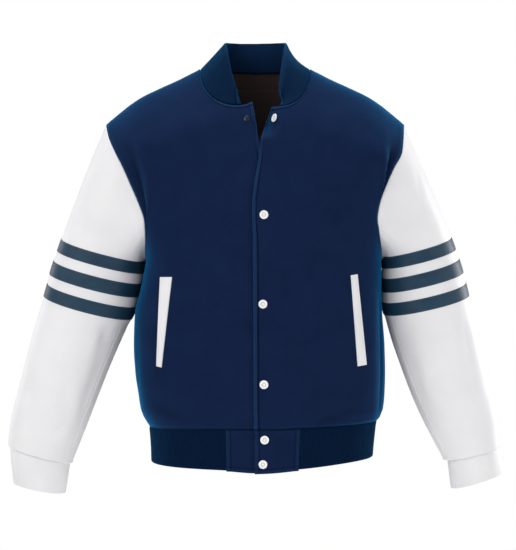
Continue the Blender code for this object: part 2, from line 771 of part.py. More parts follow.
def make_body():
    """The two fronts and the back as grids, their edges squared at the shoulder, side and waist seams."""
    fronts = {}
    for side in (-1, 1):
        panel = make_panel(front_grid(side), -1, lap=side > 0)
        flatten_seam(panel["normals"][-1, NECK_STEPS:], 1)
        flatten_seam(panel["normals"][:SIDE_STEPS + 1, -1], 1)
        flatten_seam(panel["normals"][0], 2)
        fronts[side] = panel
    back = make_panel(back_grid(), 1, False)
    flatten_seam(back["normals"][-1, :SHOULDER_STEPS + 1], 1)
    flatten_seam(back["normals"][-1, -SHOULDER_STEPS - 1:], 1)
    flatten_seam(back["normals"][:SIDE_STEPS + 1, 0], 1)
    flatten_seam(back["normals"][:SIDE_STEPS + 1, -1], 1)
    flatten_seam(back["normals"][0], 2)
    return fronts, back


def make_sleeve(fronts, back, side):
    """A sleeve's grid. The panels' armhole normals are turned to the shared mitre."""
    table = SLEEVE_LEFT if side > 0 else SLEEVE_RIGHT
    cuff = CUFF_LEFT if side > 0 else CUFF_RIGHT
    angles = np.linspace(0, 2 * math.pi, 2 * ARMHOLE_STEPS, endpoint=False)
    loop, panel_normals = armhole_loop(fronts, back, side)
    directions = cap_directions(side, angles)
    tangents = unit(np.roll(loop, -1, axis=0) - np.roll(loop, 1, axis=0))
    away = unit(np.cross(tangents, directions))
    away = facing(away, loop, loop.mean(axis=0))
    shared = mitre(panel_normals, away)
    step_out = unit(directions - np.sum(directions * shared, axis=1, keepdims=True) * shared)
    form = sleeve_form(loop + step_out * SEAM_GAP, directions, table, angles)
    rings = sleeve_rings(form)
    turned = ring(cuff[0], angles) + np.array((0.0, 0.0, SEAM_GAP))
    rings.append((1 - SLEEVE_TURN) * rings[-1] + SLEEVE_TURN * turned - np.array((0.0, 0.0, SLEEVE_PUFF)))
    rings.append(turned)
    points = np.array(rings)
    normals = facing(grid_normals(points, closed=True), points, points.mean(axis=1, keepdims=True))
    normals[0] = shared
    normals[-1] = in_ring_plane(normals[-1], cuff[0])
    turn_armhole(fronts, back, side, shared)
    return {"points": points, "normals": normals, "form": form}


def sleeve_part(sleeve, start, end):
    """The part of a sleeve between two of its seams, drawn back from both by half a seam gap."""
    columns = np.arange(start, end + 1) % (2 * ARMHOLE_STEPS)
    points = sleeve["points"][:, columns].copy()
    points[:, 0] += unit(points[:, 1] - points[:, 0]) * SEAM_GAP / 2
    points[:, -1] += unit(points[:, -2] - points[:, -1]) * SEAM_GAP / 2
    return {"points": points, "normals": sleeve["normals"][:, columns]}


def turn_armhole(fronts, back, side, shared):
    """Give the panels the normals that they share with the sleeve along its armhole."""
    edge = -1 if side > 0 else 0
    front_part = shared[:ARMHOLE_STEPS + 1]
    back_part = np.concatenate((shared[ARMHOLE_STEPS:], shared[:1]))
    fronts[side]["normals"][SIDE_STEPS:, -1] = front_part[::-1]
    back["normals"][SIDE_STEPS:, edge] = back_part
    flatten_seam(fronts[side]["normals"][SIDE_STEPS, -1], 1)
    flatten_seam(fronts[side]["normals"][-1, -1], 1)
    flatten_seam(back["normals"][SIDE_STEPS, edge], 1)
    flatten_seam(back["normals"][-1, edge], 1)


def make_band(sleeve, middle, half):
    """A band round a sleeve, laid on the sleeve's own points and moved out."""
    points = np.array([sleeve_row(sleeve["form"], place) for place in (middle - half, middle + half)])
    normals = facing(grid_normals(points, closed=True), points, points.mean(axis=1, keepdims=True))
    return {"points": points + normals * (LAY_GAP + BAND_WALL), "normals": normals}


def make_cuff(side):
    """A cuff whose ends overlap at the outer side."""
    table = CUFF_LEFT if side > 0 else CUFF_RIGHT
    angles = np.linspace(CUFF_LAP_ANGLE, CUFF_LAP_ANGLE + 2 * math.pi + CUFF_LAP, CUFF_STEPS + 1)
    lift = CUFF_LAP_LIFT * (1 - ease(angles - CUFF_LAP_ANGLE, *CUFF_LAP_CLOSE))
    rows = []
    for row in table:
        rows.append(ring(row, angles))
    points = np.array(rows)
    normals = facing(grid_normals(points), points, points.mean(axis=1, keepdims=True))
    normals = np.array([in_ring_plane(line, row) for line, row in zip(normals, table)])
    return {"points": points + normals * lift[None, :, None], "normals": normals}


def make_collar(fronts, back):
    """The collar's grid from the neckline to its top edge."""
    right = fronts[-1]
    left = fronts[1]
    back_columns = slice(SHOULDER_STEPS + 1, SHOULDER_STEPS + 2 * BACK_NECK_STEPS)
    seam = np.concatenate((right["points"][-1, 1:NECK_STEPS + 1],
                           back["points"][-1, back_columns],
                           left["points"][-1, 1:NECK_STEPS + 1][::-1]))
    panel_normals = np.concatenate((right["normals"][-1, 1:NECK_STEPS + 1],
                                    back["normals"][-1, back_columns],
                                    left["normals"][-1, 1:NECK_STEPS + 1][::-1]))
    top = np.concatenate((np.array(COLLAR_RIGHT), np.array(COLLAR_LEFT)[::-1][1:]))
    rise = unit(top - seam)
    tangents = unit(np.gradient(seam, axis=0))
    away = unit(np.cross(tangents, rise))
    away = facing(away, seam, seam.mean(axis=0))
    shared = mitre(panel_normals, away)
    step_out = unit(rise - np.sum(rise * shared, axis=1, keepdims=True) * shared)
    start = seam + step_out * SEAM_GAP
    bow = away * read(COLLAR_HOLLOW, 1, np.linspace(0, 1, len(seam)))[:, None]
    rows = []
    for t in np.linspace(0, 1, COLLAR_STEPS + 1):
        rows.append(start * (1 - t) + top * t - bow * math.sin(math.pi * t))
    points = np.array(rows)
    normals = facing(grid_normals(points), points, points.mean(axis=(0, 1)))
    normals[0] = shared
    turn_neckline(fronts, back, shared)
    return {"points": points, "normals": normals}


def turn_neckline(fronts, back, shared):
    """Give the panels the normals that they share with the collar along the neck."""
    count = NECK_STEPS
    fronts[-1]["normals"][-1, 1:NECK_STEPS + 1] = shared[:count]
    fronts[1]["normals"][-1, 1:NECK_STEPS + 1] = shared[-count:][::-1]
    back["normals"][-1, SHOULDER_STEPS + 1:SHOULDER_STEPS + 2 * BACK_NECK_STEPS] = shared[count:-count]
    flatten_seam(fronts[-1]["normals"][-1, NECK_STEPS], 1)
    flatten_seam(fronts[1]["normals"][-1, NECK_STEPS], 1)


def strip_points(places, faces, low, high, lap=False):
    """Rows of body points between the hem and the waist seam."""
    rows = []
    for share in np.linspace(0, 1, STRIP_STEPS + 1):
        height = low * (1 - share) + high * share
        row = []
        for place, face, z in zip(places, faces, height):
            row.append(body_point(place, z, face, lap, gap=0.0))
        rows.append(row)
    return np.array(rows)


def band_heights(places, faces):
    """Heights of the hem and of the waist seam at places round the body."""
    low = []
    high = []
    for place, face in zip(places, faces):
        x = float(body_point(place, WAIST_MIDDLE, face, gap=0.0)[0])
        low.append(float(read(HEM_FRONT if face < 0 else HEM_BACK, 1, x)))
        high.append(float(read(WAIST_SEAM, 1, x)))
    return np.array(low), np.array(high)


def make_strip(places, faces, lap=False):
    """A piece of the waistband between two places round the body."""
    low, high = band_heights(places, faces)
    points = strip_points(places, faces, low, high, lap)
    normals = facing(grid_normals(points), points, np.array((0.0, 0.0, BAND_MIDDLE)))
    flatten_seam(normals, 2)
    return {"points": points, "normals": normals}


def make_waist_rib():
    """Rib waistband from the end of the right tab round the back to the end of the left tab."""
    start = float(place_at(TAB_RIGHT_END - SEAM_GAP, BAND_MIDDLE))
    end = float(place_at(TAB_LEFT_END + SEAM_GAP, BAND_MIDDLE))
    right, behind, left = WAIST_STEPS
    places = np.concatenate((np.linspace(start, -1, right + 1)[:-1], np.linspace(-1, 1, behind + 1),
                             np.linspace(1, end, left + 1)[1:]))
    faces = [-1] * right + [1] * (behind + 1) + [-1] * left
    return make_strip(places, faces)


def make_tab(side):
    """Wool tab at the front of the waistband."""
    ends = (EDGE_LEFT[0][1], TAB_LEFT_END) if side > 0 else (TAB_RIGHT_END, UNDER_EDGE)
    x = np.linspace(*ends, TAB_STEPS + 1)
    return make_strip(place_at(x, BAND_MIDDLE), [-1] * len(x), lap=side > 0)


def make_welt(side):
    """Pocket welt laid on its front."""
    corners = np.array(WELT_LEFT if side > 0 else WELT_RIGHT)
    across, along = WELT_STEPS
    u = np.linspace(0, 1, across + 1)[None, :, None]
    v = np.linspace(0, 1, along + 1)[:, None, None]
    upper = corners[0] * (1 - u) + corners[1] * u
    lower = corners[3] * (1 - u) + corners[2] * u
    flat = lower * (1 - v) + upper * v
    points = body_point(place_at(flat[..., 0], flat[..., 1]), flat[..., 1], -1, lap=side > 0)
    normals = facing(grid_normals(points), points, np.array(BODY_MIDDLE))
    return {"points": points + normals * (LAY_GAP + WELT_WALL), "normals": normals}


def make_lining(grid):
    """Lining inside the upper back."""
    neck = slice(SHOULDER_STEPS + 1, SHOULDER_STEPS + 2 * BACK_NECK_STEPS)
    rows = grid[SIDE_STEPS - 1:-1].copy()
    rows[-1, neck] = grid[-2, neck] * LINING_HEM + grid[-1, neck] * (1 - LINING_HEM)
    rows = rows[:, 1:-1]
    points = body_point(rows[..., 0], rows[..., 1], 1)
    normals = facing(grid_normals(points), points, np.array(BODY_MIDDLE))
    return {"points": points - normals * (WOOL_WALL + LINING_GAP), "normals": normals}


def surface_frame(x, height, face, lap):
    """A point of the body's outside and the outward normal there."""
    reach = 0.003
    spots = ((x - reach, height), (x + reach, height), (x, height - reach), (x, height + reach), (x, height))
    points = [body_point(place_at(px, pz), pz, face, lap) for px, pz in spots]
    normal = unit(np.cross(points[1] - points[0], points[3] - points[2]))
    if normal[1] * face < 0:
        normal = -normal
    return points[4], normal


def add_turned(name, profile, point, normal, look, segments=24):
    """A turned piece: a profile of (radius, height) spun round a normal. Both ends lie on the axis."""
    turn = Vector(normal).to_track_quat("Z", "Y").to_matrix()
    vertices = [(0.0, 0.0, profile[0][1]), (0.0, 0.0, profile[-1][1])]
    for radius, height in profile[1:-1]:
        for i in range(segments):
            angle = 2 * math.pi * i / segments
            vertices.append((radius * math.cos(angle), radius * math.sin(angle), height))
    faces = []
    rings = len(profile) - 2
    for i in range(segments):
        k = (i + 1) % segments
        faces.append((0, 2 + k, 2 + i))
        for j in range(rings - 1):
            a = 2 + j * segments
            b = a + segments
            faces.append((a + i, a + k, b + k, b + i))
        last = 2 + (rings - 1) * segments
        faces.append((1, last + i, last + k))
    result = add_object(name, vertices, faces, look)
    result.matrix_world = Matrix.Translation(Vector(point)) @ turn.to_4x4()
    return result


def snap_profile():
    """Ring snap's cap: a low disc with a raised rim and a dished middle."""
    r = SNAP_RADIUS
    h = SNAP_HEIGHT
    side = ((0.0, 0.0), (r * 0.92, 0.0), (r, h * 0.25), (r * 0.96, h * 0.75), (r * 0.80, h))
    dish = ((r * 0.58, h * 0.72), (r * 0.25, h * 0.60), (0.0, h * 0.58))
    return side + dish


def stud_profile():
    """Stud of the open snap: a flange with a waisted post."""
    r = STUD_RADIUS
    h = STUD_HEIGHT
    flange = ((0.0, 0.0), (r, 0.0), (r, h * 0.25))
    post = ((r * 0.55, h * 0.35), (r * 0.62, h * 0.85), (r * 0.45, h), (0.0, h))
    return flange + post


def cuff_snap_frame(side):
    """Point and outward normal for the snap on a cuff's overlap."""
    points = make_cuff(side)["points"]
    spot = points[CUFF_SNAP_ROW, 1]
    across = points[CUFF_SNAP_ROW, 2] - points[CUFF_SNAP_ROW, 0]
    climb = points[CUFF_SNAP_ROW + 1, 1] - points[CUFF_SNAP_ROW, 1]
    normal = unit(np.cross(across, climb))
    return spot, facing(normal, spot, points.mean(axis=(0, 1)))


# ---------------------------------------------------------------- the jacket
def add_wall(name, piece, thickness, look, closed=False):
    """A piece's wall as an object."""
    vertices, faces = wall_mesh(piece["points"], piece["normals"], thickness, closed)
    return add_object(name, vertices, faces, look)


def build():
    """Every piece of the jacket."""
    fronts, back = make_body()
    sleeves = {side: make_sleeve(fronts, back, side) for side in (-1, 1)}
    collar = make_collar(fronts, back)
    names = {-1: "right", 1: "left"}
    add_wall("back", back, WOOL_WALL, "navy_wool")
    add_wall("lining_back", make_lining(back_grid()), LINING_WALL, "brown_lining")
    add_wall("collar", collar, RIB_WALL, "navy_rib")
    add_wall("waist_rib", make_waist_rib(), RIB_WALL, "navy_rib")
    for side, word in names.items():
        add_wall(f"front_{word}", fronts[side], WOOL_WALL, "navy_wool")
        front_seam, back_seam = SLEEVE_SEAMS
        upper = sleeve_part(sleeves[side], back_seam, front_seam + 2 * ARMHOLE_STEPS)
        under = sleeve_part(sleeves[side], front_seam, back_seam)
        add_wall(f"sleeve_upper_{word}", upper, LEATHER_WALL, "white_leather")
        add_wall(f"sleeve_under_{word}", under, LEATHER_WALL, "white_leather")
        add_wall(f"cuff_{word}", make_cuff(side), CUFF_WALL, "white_leather")
        add_wall(f"waist_tab_{word}", make_tab(side), WOOL_WALL, "navy_wool")
        add_wall(f"welt_{word}", make_welt(side), WELT_WALL, "white_leather")
        for number, (middle, half) in enumerate(BANDS, start=1):
            band = make_band(sleeves[side], middle, half)
            add_wall(f"band_{word}_{number}", band, BAND_WALL, "dark_leather", closed=True)
        point, normal = cuff_snap_frame(side)
        add_turned(f"cuff_snap_{word}", snap_profile(), point + normal * LAY_GAP, normal, "white_enamel")
    for number, (x, height, gap) in enumerate(SNAPS, start=1):
        point, normal = surface_frame(x, height, -1, True)
        add_turned(f"snap_{number}", snap_profile(), point + normal * gap, normal, "white_enamel")
    point, normal = surface_frame(*STUD, -1, False)
    add_turned("snap_stud", stud_profile(), point + normal * LAY_GAP, normal, "dark_metal", segments=16)


def clear_scene():
    """Take away whatever objects the scene holds."""
    for item in list(bpy.data.objects):
        bpy.data.objects.remove(item)


clear_scene()
build()
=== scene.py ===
"""Varsity jacket: the finish of every piece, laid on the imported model's own form.

Metres, +Z up. +X is the wearer's left, -Y is the front. The body form and the tables repeat the construction's, so
every shell lies where its solid does.
"""
import math

import bpy
import numpy as np
from mathutils import Matrix, Vector


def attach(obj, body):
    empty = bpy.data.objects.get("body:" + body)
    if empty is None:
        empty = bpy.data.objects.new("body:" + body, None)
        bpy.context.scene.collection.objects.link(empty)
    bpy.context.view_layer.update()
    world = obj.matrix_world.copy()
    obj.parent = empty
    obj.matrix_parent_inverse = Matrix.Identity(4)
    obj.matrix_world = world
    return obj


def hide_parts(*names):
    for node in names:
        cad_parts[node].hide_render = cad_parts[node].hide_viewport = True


WORD = {-1: "right", 1: "left"}

# ---------------------------------------------------------------- camera
CAMERA_PLACE = (0.005, -2.8, -0.359)
FOCAL_PIXELS = 1600
IMAGE_HEIGHT_PIXELS = 550
SENSOR_MM = 36.0
FLOOR_HEIGHT = -1.42       # a wearer's shoulders are this far above the floor
FLOOR_RADIUS = 2.9

# ---------------------------------------------------------------- driving dimensions (metres)
WOOL_WALL = 0.0030        # melton with its lining
LEATHER_WALL = 0.0025     # sleeve leather with its lining
RIB_WALL = 0.0035         # rib knit, folded double
CUFF_WALL = 0.0026
BAND_WALL = 0.0007        # sleeve bands
WELT_WALL = 0.0020
LINING_WALL = 0.0010
SEAM_GAP = 0.0001         # between the edges of pieces that are sewn together
LAY_GAP = 0.0006          # between a panel and what lies on it
LINING_GAP = 0.0010

SEAM_DEPTH = 0.010        # y of the shoulder and side seams
SECTION_POWER = 2.8       # how square the body is, seen from above
SECTION_ASPECT = 0.72     # depth to width of the body
BODY_MIDDLE = (0.0, 0.0, -0.35)
SHOULDER_DROP = 0.120     # height over which the cloth rounds down from the shoulder seam
SHOULDER_POWER = 1.7

FRONT_LAP = 0.0052        # the left front stands this far off the right front
LAP_FADE = (0.038, 0.075)  # x where the lap starts and stops closing on the body form
UNDER_EDGE = 0.033        # x of the right front's hidden edge
NECK_CURL = 0.0405        # how far the open top corner of the left front rolls back
NECK_CURL_ACROSS = (0.020, 0.050)  # x where the roll is full and where it ends
NECK_CURL_HEIGHTS = (-0.132, -0.100)
NECK_CURL_SIDE = 0.012    # the roll starts over this width to the left of the middle

UNDERARM = -0.333         # height of the underarm point
CREASE_ROW = -0.336       # height on the front edge of the row that reaches the underarm
NECK_X = 0.0965           # half width of the neck at the shoulders
WAIST_MIDDLE = -0.616     # height of the waist seam at the middle of the front
BAND_MIDDLE = -0.650      # height of the waistband's middle
BAND_CENTRE = (0.0, 0.0, BAND_MIDDLE)
SNAP_RADIUS = 0.0073
SNAP_HEIGHT = 0.0022
STUD_RADIUS = 0.0054
STUD_HEIGHT = 0.0030

NECK_SHARE = 6 / 11        # share of a front's upper border that is neckline
SIDE_SHARE = 7 / 17        # share of a front's outer border that is side seam
BACK_NECK_SHARE = (5 / 16, 11 / 16)

# spacing of the shells' points
PANEL_STEP = 0.0036
BACK_STEP = 0.0050         # across the back, which is plainer than the fronts
DENSE_STEPS = 1500         # of the fine lines that are measured before a grid is laid along them
ARMHOLE_STEPS = 1601
ARMHOLE_ROUNDS = 30        # of the search for the shoulder's tip
EDGE_SPOTS = (0.0, 0.0003, 0.0008, 0.0015, 0.0024, 0.0036, 0.0050, 0.0068, 0.0090, 0.0115)
STRIP_SPOTS = (0.0, 0.0003, 0.0008, 0.0015, 0.0024, 0.0036, 0.0050, 0.0062, 0.0071, 0.0077, 0.0083, 0.0089,
               0.0098, 0.0110, 0.0130, 0.0155)

# ---------------------------------------------------------------- tables
# body form: height, half width at the wearer's right, at the left, depth in front, depth behind
BODY = (
    (-0.700, 0.1810, 0.2040, 0.1290, 0.1130),
    (-0.660, 0.1820, 0.2065, 0.1310, 0.1150),
    (-0.634, 0.1838, 0.2092, 0.1327, 0.1166),
    (-0.617, 0.1862, 0.2112, 0.1346, 0.1185),
    (-0.605, 0.1940, 0.2165, 0.1415, 0.1245),
    (-0.590, 0.2000, 0.2230, 0.1480, 0.1290),
    (-0.564, 0.2040, 0.2256, 0.1515, 0.1315),
    (-0.529, 0.2088, 0.2266, 0.1520, 0.1310),
    (-0.480, 0.2115, 0.2255, 0.1515, 0.1300),
    (-0.425, 0.2095, 0.2215, 0.1500, 0.1320),
    (-0.385, 0.2000, 0.2203, 0.1480, 0.1350),
    (-0.350, 0.1930, 0.2202, 0.1465, 0.1375),
    (-0.330, 0.1900, 0.2200, 0.1455, 0.1390),
    (-0.313, 0.1923, 0.2212, 0.1440, 0.1402),
    (-0.286, 0.2000, 0.2260, 0.1415, 0.1410),
    (-0.259, 0.2079, 0.2279, 0.1390, 0.1412),
    (-0.232, 0.2192, 0.2338, 0.1350, 0.1400),
    (-0.204, 0.2327, 0.2456, 0.1295, 0.1380),
    (-0.176, 0.2465, 0.2597, 0.1235, 0.1340),
    (-0.148, 0.2628, 0.2765, 0.1165, 0.1285),
    (-0.120, 0.2775, 0.2815, 0.1090, 0.1210),
    (-0.096, 0.2850, 0.2850, 0.1020, 0.1130),
    (-0.064, 0.2900, 0.2900, 0.0910, 0.1000),
    (-0.030, 0.2920, 0.2920, 0.0840, 0.0890),
    (0.010, 0.2930, 0.2930, 0.0800, 0.0780),
    (0.060, 0.2930, 0.2930, 0.0790, 0.0760),
)
# shoulder seam: distance from the middle, height. Inside the neck it runs on as the form's top.
SHOULDER_FRONT = (
    (0.000, 0.0300), (0.050, 0.0180), (0.0965, 0.0015), (0.133, -0.0165), (0.165, -0.0310), (0.196, -0.0458),
    (0.217, -0.0592), (0.235, -0.0733), (0.252, -0.0873), (0.263, -0.0965),
)
SHOULDER_BACK = (
    (0.000, 0.0600),
    (0.050, 0.0450),
    (0.080, 0.0200),
) + SHOULDER_FRONT[2:]
SHOULDER = {-1: SHOULDER_FRONT, 1: SHOULDER_BACK}
# armholes in front (-1) and behind (1): height, place round the body
ARMHOLE = {
    -1: (
        (UNDERARM, 1.00), (-0.328, 0.93), (-0.318, 0.86), (-0.303, 0.78), (-0.286, 0.73), (-0.260, 0.70),
        (-0.180, 0.70), (-0.0965, 0.70),
    ),
    1: (
        (UNDERARM, 1.00), (-0.328, 0.935), (-0.318, 0.875), (-0.303, 0.81), (-0.286, 0.775), (-0.260, 0.755),
        (-0.200, 0.745), (-0.150, 0.72), (-0.0965, 0.70),
    ),
}
# neckline of the right (-1) and left (1) front from its corner to the shoulder: x, height
NECK = {
    -1: (
        (-0.0048, -0.0639), (-0.0235, -0.0700), (-0.0450, -0.0688), (-0.0650, -0.0612), (-0.0815, -0.0460),
        (-0.0925, -0.0250), (-NECK_X, 0.0015),
    ),
    1: (
        (0.0287, -0.0713), (0.0405, -0.0722), (0.0585, -0.0690), (0.0755, -0.0580), (0.0885, -0.0395),
        (0.0955, -0.0200), (NECK_X, 0.0015),
    ),
}
# neckline of the back from the middle to the shoulder: x, height
NECK_BACK = (
    (0.000, 0.0030), (0.040, 0.0038), (0.075, 0.0036), (NECK_X, 0.0015),
)
# collar's top edge by side, over the neckline's points from its front end to the middle of the back: x, y, height
COLLAR_TOP = {
    -1: (
        (-0.0307, -0.0800, -0.0462), (-0.0363, -0.0720, -0.0282), (-0.0412, -0.0620, -0.0099),
        (-0.0457, -0.0500, 0.0105), (-0.0495, -0.0300, 0.0315), (-0.0530, 0.0060, 0.0480),
        (-0.0440, 0.0360, 0.0525), (-0.0240, 0.0530, 0.0530), (0.0010, 0.0580, 0.0530),
    ),
    1: (
        (0.0427, -0.0810, -0.0480), (0.0440, -0.0730, -0.0284), (0.0461, -0.0620, -0.0082),
        (0.0489, -0.0480, 0.0125), (0.0520, -0.0280, 0.0322), (0.0550, 0.0080, 0.0480),
        (0.0460, 0.0370, 0.0525), (0.0260, 0.0535, 0.0530), (0.0010, 0.0580, 0.0530),
    ),
}
# how far the collar's side curves in between seam and top: share of the neck from the right front's end, depth
COLLAR_HOLLOW = (
    (0.00, 0.0005), (0.32, 0.0005), (0.50, 0.0040), (0.66, 0.0060), (1.00, 0.0060),
)
# front edges by side: height, x
EDGE = {
    -1: (
        (-0.690, UNDER_EDGE), (-0.300, UNDER_EDGE), (-0.200, 0.0220), (-0.160, 0.0130), (-0.1375, 0.0080),
        (-0.1260, 0.0055), (-0.1046, 0.0027), (-0.0824, -0.0011), (-0.0639, -0.0048),
    ),
    1: (
        (-0.690, -0.0008), (-0.616, -0.0016), (-0.539, -0.0024), (-0.407, -0.0028), (-0.300, -0.0033),
        (-0.258, -0.0045), (-0.234, -0.0042), (-0.200, 0.0000), (-0.166, 0.0055), (-0.1376, 0.0089),
        (-0.1235, 0.0112), (-0.0980, 0.0187), (-0.0713, 0.0287),
    ),
}
# waist seam, and hem in front (-1) and behind (1): x, height
WAIST_SEAM = (
    (-0.230, -0.6225), (-0.190, -0.6215), (-0.060, -0.6168), (0.015, -0.6168), (0.075, -0.6155),
    (0.210, -0.6110), (0.240, -0.6105),
)
HEM = {
    -1: (
        (-0.200, -0.6820), (-0.181, -0.6825), (-0.048, -0.6860), (0.000, -0.6890), (0.074, -0.6845),
        (0.2045, -0.6735), (0.220, -0.6730),
    ),
    1: (
        (-0.200, -0.6820), (-0.181, -0.6825), (0.000, -0.6815), (0.2045, -0.6735), (0.220, -0.6730),
    ),
}
TAB_LEFT_END = 0.0744
TAB_RIGHT_END = -0.0484

# soft folds of the body in front (-1) and behind (1): half width, depth of the trough, path of x and height
FOLDS = {
    -1: (
        (0.030, 0.0030, ((-0.150, -0.300), (-0.085, -0.400))),
        (0.026, 0.0030, ((-0.165, -0.560), (-0.120, -0.450))),
        (0.022, 0.0022, ((-0.060, -0.600), (-0.075, -0.500))),
        (0.028, 0.0026, ((0.170, -0.290), (0.120, -0.360))),
        (0.024, 0.0024, ((0.120, -0.600), (0.100, -0.500))),
        (0.020, 0.0022, ((0.190, -0.590), (0.165, -0.540))),
    ),
    1: (
        (0.032, 0.0036, ((-0.160, -0.300), (-0.070, -0.390))),
        (0.030, 0.0034, ((0.175, -0.290), (0.080, -0.370))),
        (0.026, 0.0028, ((-0.120, -0.600), (-0.100, -0.470))),
        (0.024, 0.0024, ((0.010, -0.600), (-0.005, -0.510))),
        (0.026, 0.0028, ((0.130, -0.595), (0.115, -0.480))),
    ),
}

# sleeves below the cap by side: outer x and height, inner x and height, y of the middle, half depth, front drop
SLEEVE = {
    -1: (
        (-0.3433, -0.3082, -0.1955, -0.3476, 0.005, 0.068, 0.0085),
        (-0.3563, -0.3473, -0.2036, -0.3870, 0.002, 0.068, 0.0085),
        (-0.3657, -0.3852, -0.2136, -0.4255, -0.002, 0.066, 0.0085),
        (-0.3806, -0.4375, -0.2353, -0.4764, -0.008, 0.064, 0.0070),
        (-0.3952, -0.4930, -0.2572, -0.5292, -0.016, 0.061, 0.0050),
        (-0.4079, -0.5481, -0.2775, -0.5821, -0.024, 0.057, 0.0030),
        (-0.4209, -0.6031, -0.2966, -0.6325, -0.030, 0.053, 0.0010),
        (-0.4262, -0.6485, -0.3150, -0.6790, -0.034, 0.050, 0.0000),
    ),
    1: (
        (0.3477, -0.3055, 0.2234, -0.3385, 0.005, 0.072, 0.0085),
        (0.3605, -0.3441, 0.2234, -0.3785, 0.002, 0.072, 0.0085),
        (0.3705, -0.3844, 0.2246, -0.4180, -0.002, 0.070, 0.0085),
        (0.3810, -0.4340, 0.2371, -0.4689, -0.008, 0.066, 0.0070),
        (0.3948, -0.4930, 0.2556, -0.5243, -0.016, 0.061, 0.0050),
        (0.4058, -0.5481, 0.2739, -0.5724, -0.024, 0.057, 0.0030),
        (0.4175, -0.5962, 0.2941, -0.6170, -0.030, 0.053, 0.0010),
        (0.4220, -0.6500, 0.3240, -0.6735, -0.034, 0.050, 0.0000),
    ),
}
# cuffs by side: the same columns
CUFF = {
    -1: (
        (-0.4194, -0.6546, -0.3197, -0.6823, -0.034, 0.046, 0.0000),
        (-0.4170, -0.6860, -0.3236, -0.7085, -0.035, 0.0445, 0.0000),
        (-0.4131, -0.7183, -0.3275, -0.7349, -0.036, 0.043, 0.0000),
    ),
    1: (
        (0.4195, -0.6560, 0.3325, -0.6768, -0.034, 0.046, 0.0000),
        (0.4232, -0.6776, 0.3353, -0.7020, -0.035, 0.0445, 0.0000),
        (0.4262, -0.6993, 0.3384, -0.7266, -0.036, 0.043, 0.0000),
    ),
}
CUFF_LAP = 0.50           # angle that the cuff's ends overlap
CUFF_LAP_ANGLE = -0.55    # angle of the outer end, towards the back from the outer side
CUFF_LAP_LIFT = 0.0036
CUFF_LAP_CLOSE = (0.525, 1.30)  # angles past the outer end over which the overlap closes on the cuff
CUFF_SNAP_ROW = 1
CUFF_SNAP_STEPS = 26       # the snap sits one of these steps round the cuff from its outer end
SLEEVE_POWER = 2.15       # how square a sleeve's section is

# bands on a sleeve: their middle and half width, counted in rows of the sleeve's table
BANDS = (
    (-0.045, 0.30), (0.945, 0.285), (1.945, 0.25),
)

ROW_LENGTH = 0.041         # between the first rows of a sleeve's table
CAP_LEAST = 0.35          # least share of the cap that lies above the first band
CAP_LEAVE_ROW = 0.2       # the row towards which the cap leaves into the sleeve
# directions in which a sleeve leaves the armhole: outward share, y, z
CAP_TOP = (0.40, 0.0, -0.92)
CAP_FRONT = (0.66, 0.10, -0.74)
CAP_UNDER = (0.80, 0.0, -0.60)
CAP_BACK = (0.66, -0.10, -0.74)

# welts by side: x and height of the upper inner, upper outer, lower outer and lower inner corner
WELT = {
    -1: (
        (-0.1385, -0.3625), (-0.1590, -0.3625), (-0.1650, -0.5120), (-0.1560, -0.5140),
    ),
    1: (
        (0.1600, -0.3595), (0.1715, -0.3578), (0.1870, -0.5100), (0.1715, -0.5120),
    ),
}
# front snaps: x, height, gap to the cloth
SNAPS = (
    (0.0350, -0.0944, 0.0014), (0.0148, -0.2591, 0.0006), (0.0131, -0.4072, 0.0006),
    (0.0148, -0.5401, 0.0006), (0.0160, -0.6333, 0.0006), (0.0132, -0.6744, 0.0004),
)
STUD = (-0.0136, -0.0956)

# ---------------------------------------------------------------- small helpers
def column(table, index):
    """One column of a table."""
    return np.array([row[index] for row in table], dtype=float)


def smooth(xs, ys, x):
    """Curve through the points (xs, ys) that never overshoots them, read at x."""
    x = np.clip(np.asarray(x, dtype=float), xs[0], xs[-1])
    step = np.diff(xs)
    rise = np.diff(ys) / step
    slope = np.zeros(len(xs))
    slope[0] = rise[0]
    slope[-1] = rise[-1]
    same = rise[:-1] * rise[1:] > 0.0
    mean = np.where(same, 2.0 * rise[:-1] * rise[1:] / np.where(same, rise[:-1] + rise[1:], 1.0), 0.0)
    slope[1:-1] = mean
    i = np.clip(np.searchsorted(xs, x, side="right") - 1, 0, len(xs) - 2)
    h = step[i]
    t = (x - xs[i]) / h
    value = ys[i] * (1 + 2 * t) * (1 - t) ** 2 + ys[i + 1] * t * t * (3 - 2 * t)
    return value + h * (slope[i] * t * (1 - t) ** 2 - slope[i + 1] * t * t * (1 - t))


def read(table, index, x):
    """One column of a table read at a value of its first column."""
    return smooth(column(table, 0), column(table, index), x)


def through(points, at):
    """Curve through a list of points, read at places counted in points (Catmull-Rom)."""
    points = np.asarray(points, dtype=float)
    last = len(points) - 1
    at = np.clip(np.asarray(at, dtype=float), 0.0, last)
    i = np.minimum(at.astype(int), last - 1)
    t = (at - i).reshape((-1,) + (1,) * (points.ndim - 1))
    before = points[np.maximum(i - 1, 0)]
    start = points[i]
    end = points[i + 1]
    after = points[np.minimum(i + 2, last)]
    leave = (end - before) / 2
    arrive = (after - start) / 2
    a = 2 * start - 2 * end + leave + arrive
    b = -3 * start + 3 * end - 2 * leave - arrive
    return ((a * t + b) * t + leave) * t + start


def part(value, low, high):
    """Share of the way from low to high, from 0 to 1."""
    return np.clip((value - low) / (high - low), 0.0, 1.0)


def ease(value, low, high):
    """0 below low, 1 above high, and soft between."""
    t = part(value, low, high)
    return t * t * (3 - 2 * t)


def unit(vectors):
    """Vectors scaled to length 1."""
    length = np.linalg.norm(vectors, axis=-1, keepdims=True)
    return vectors / np.maximum(length, 1e-12)


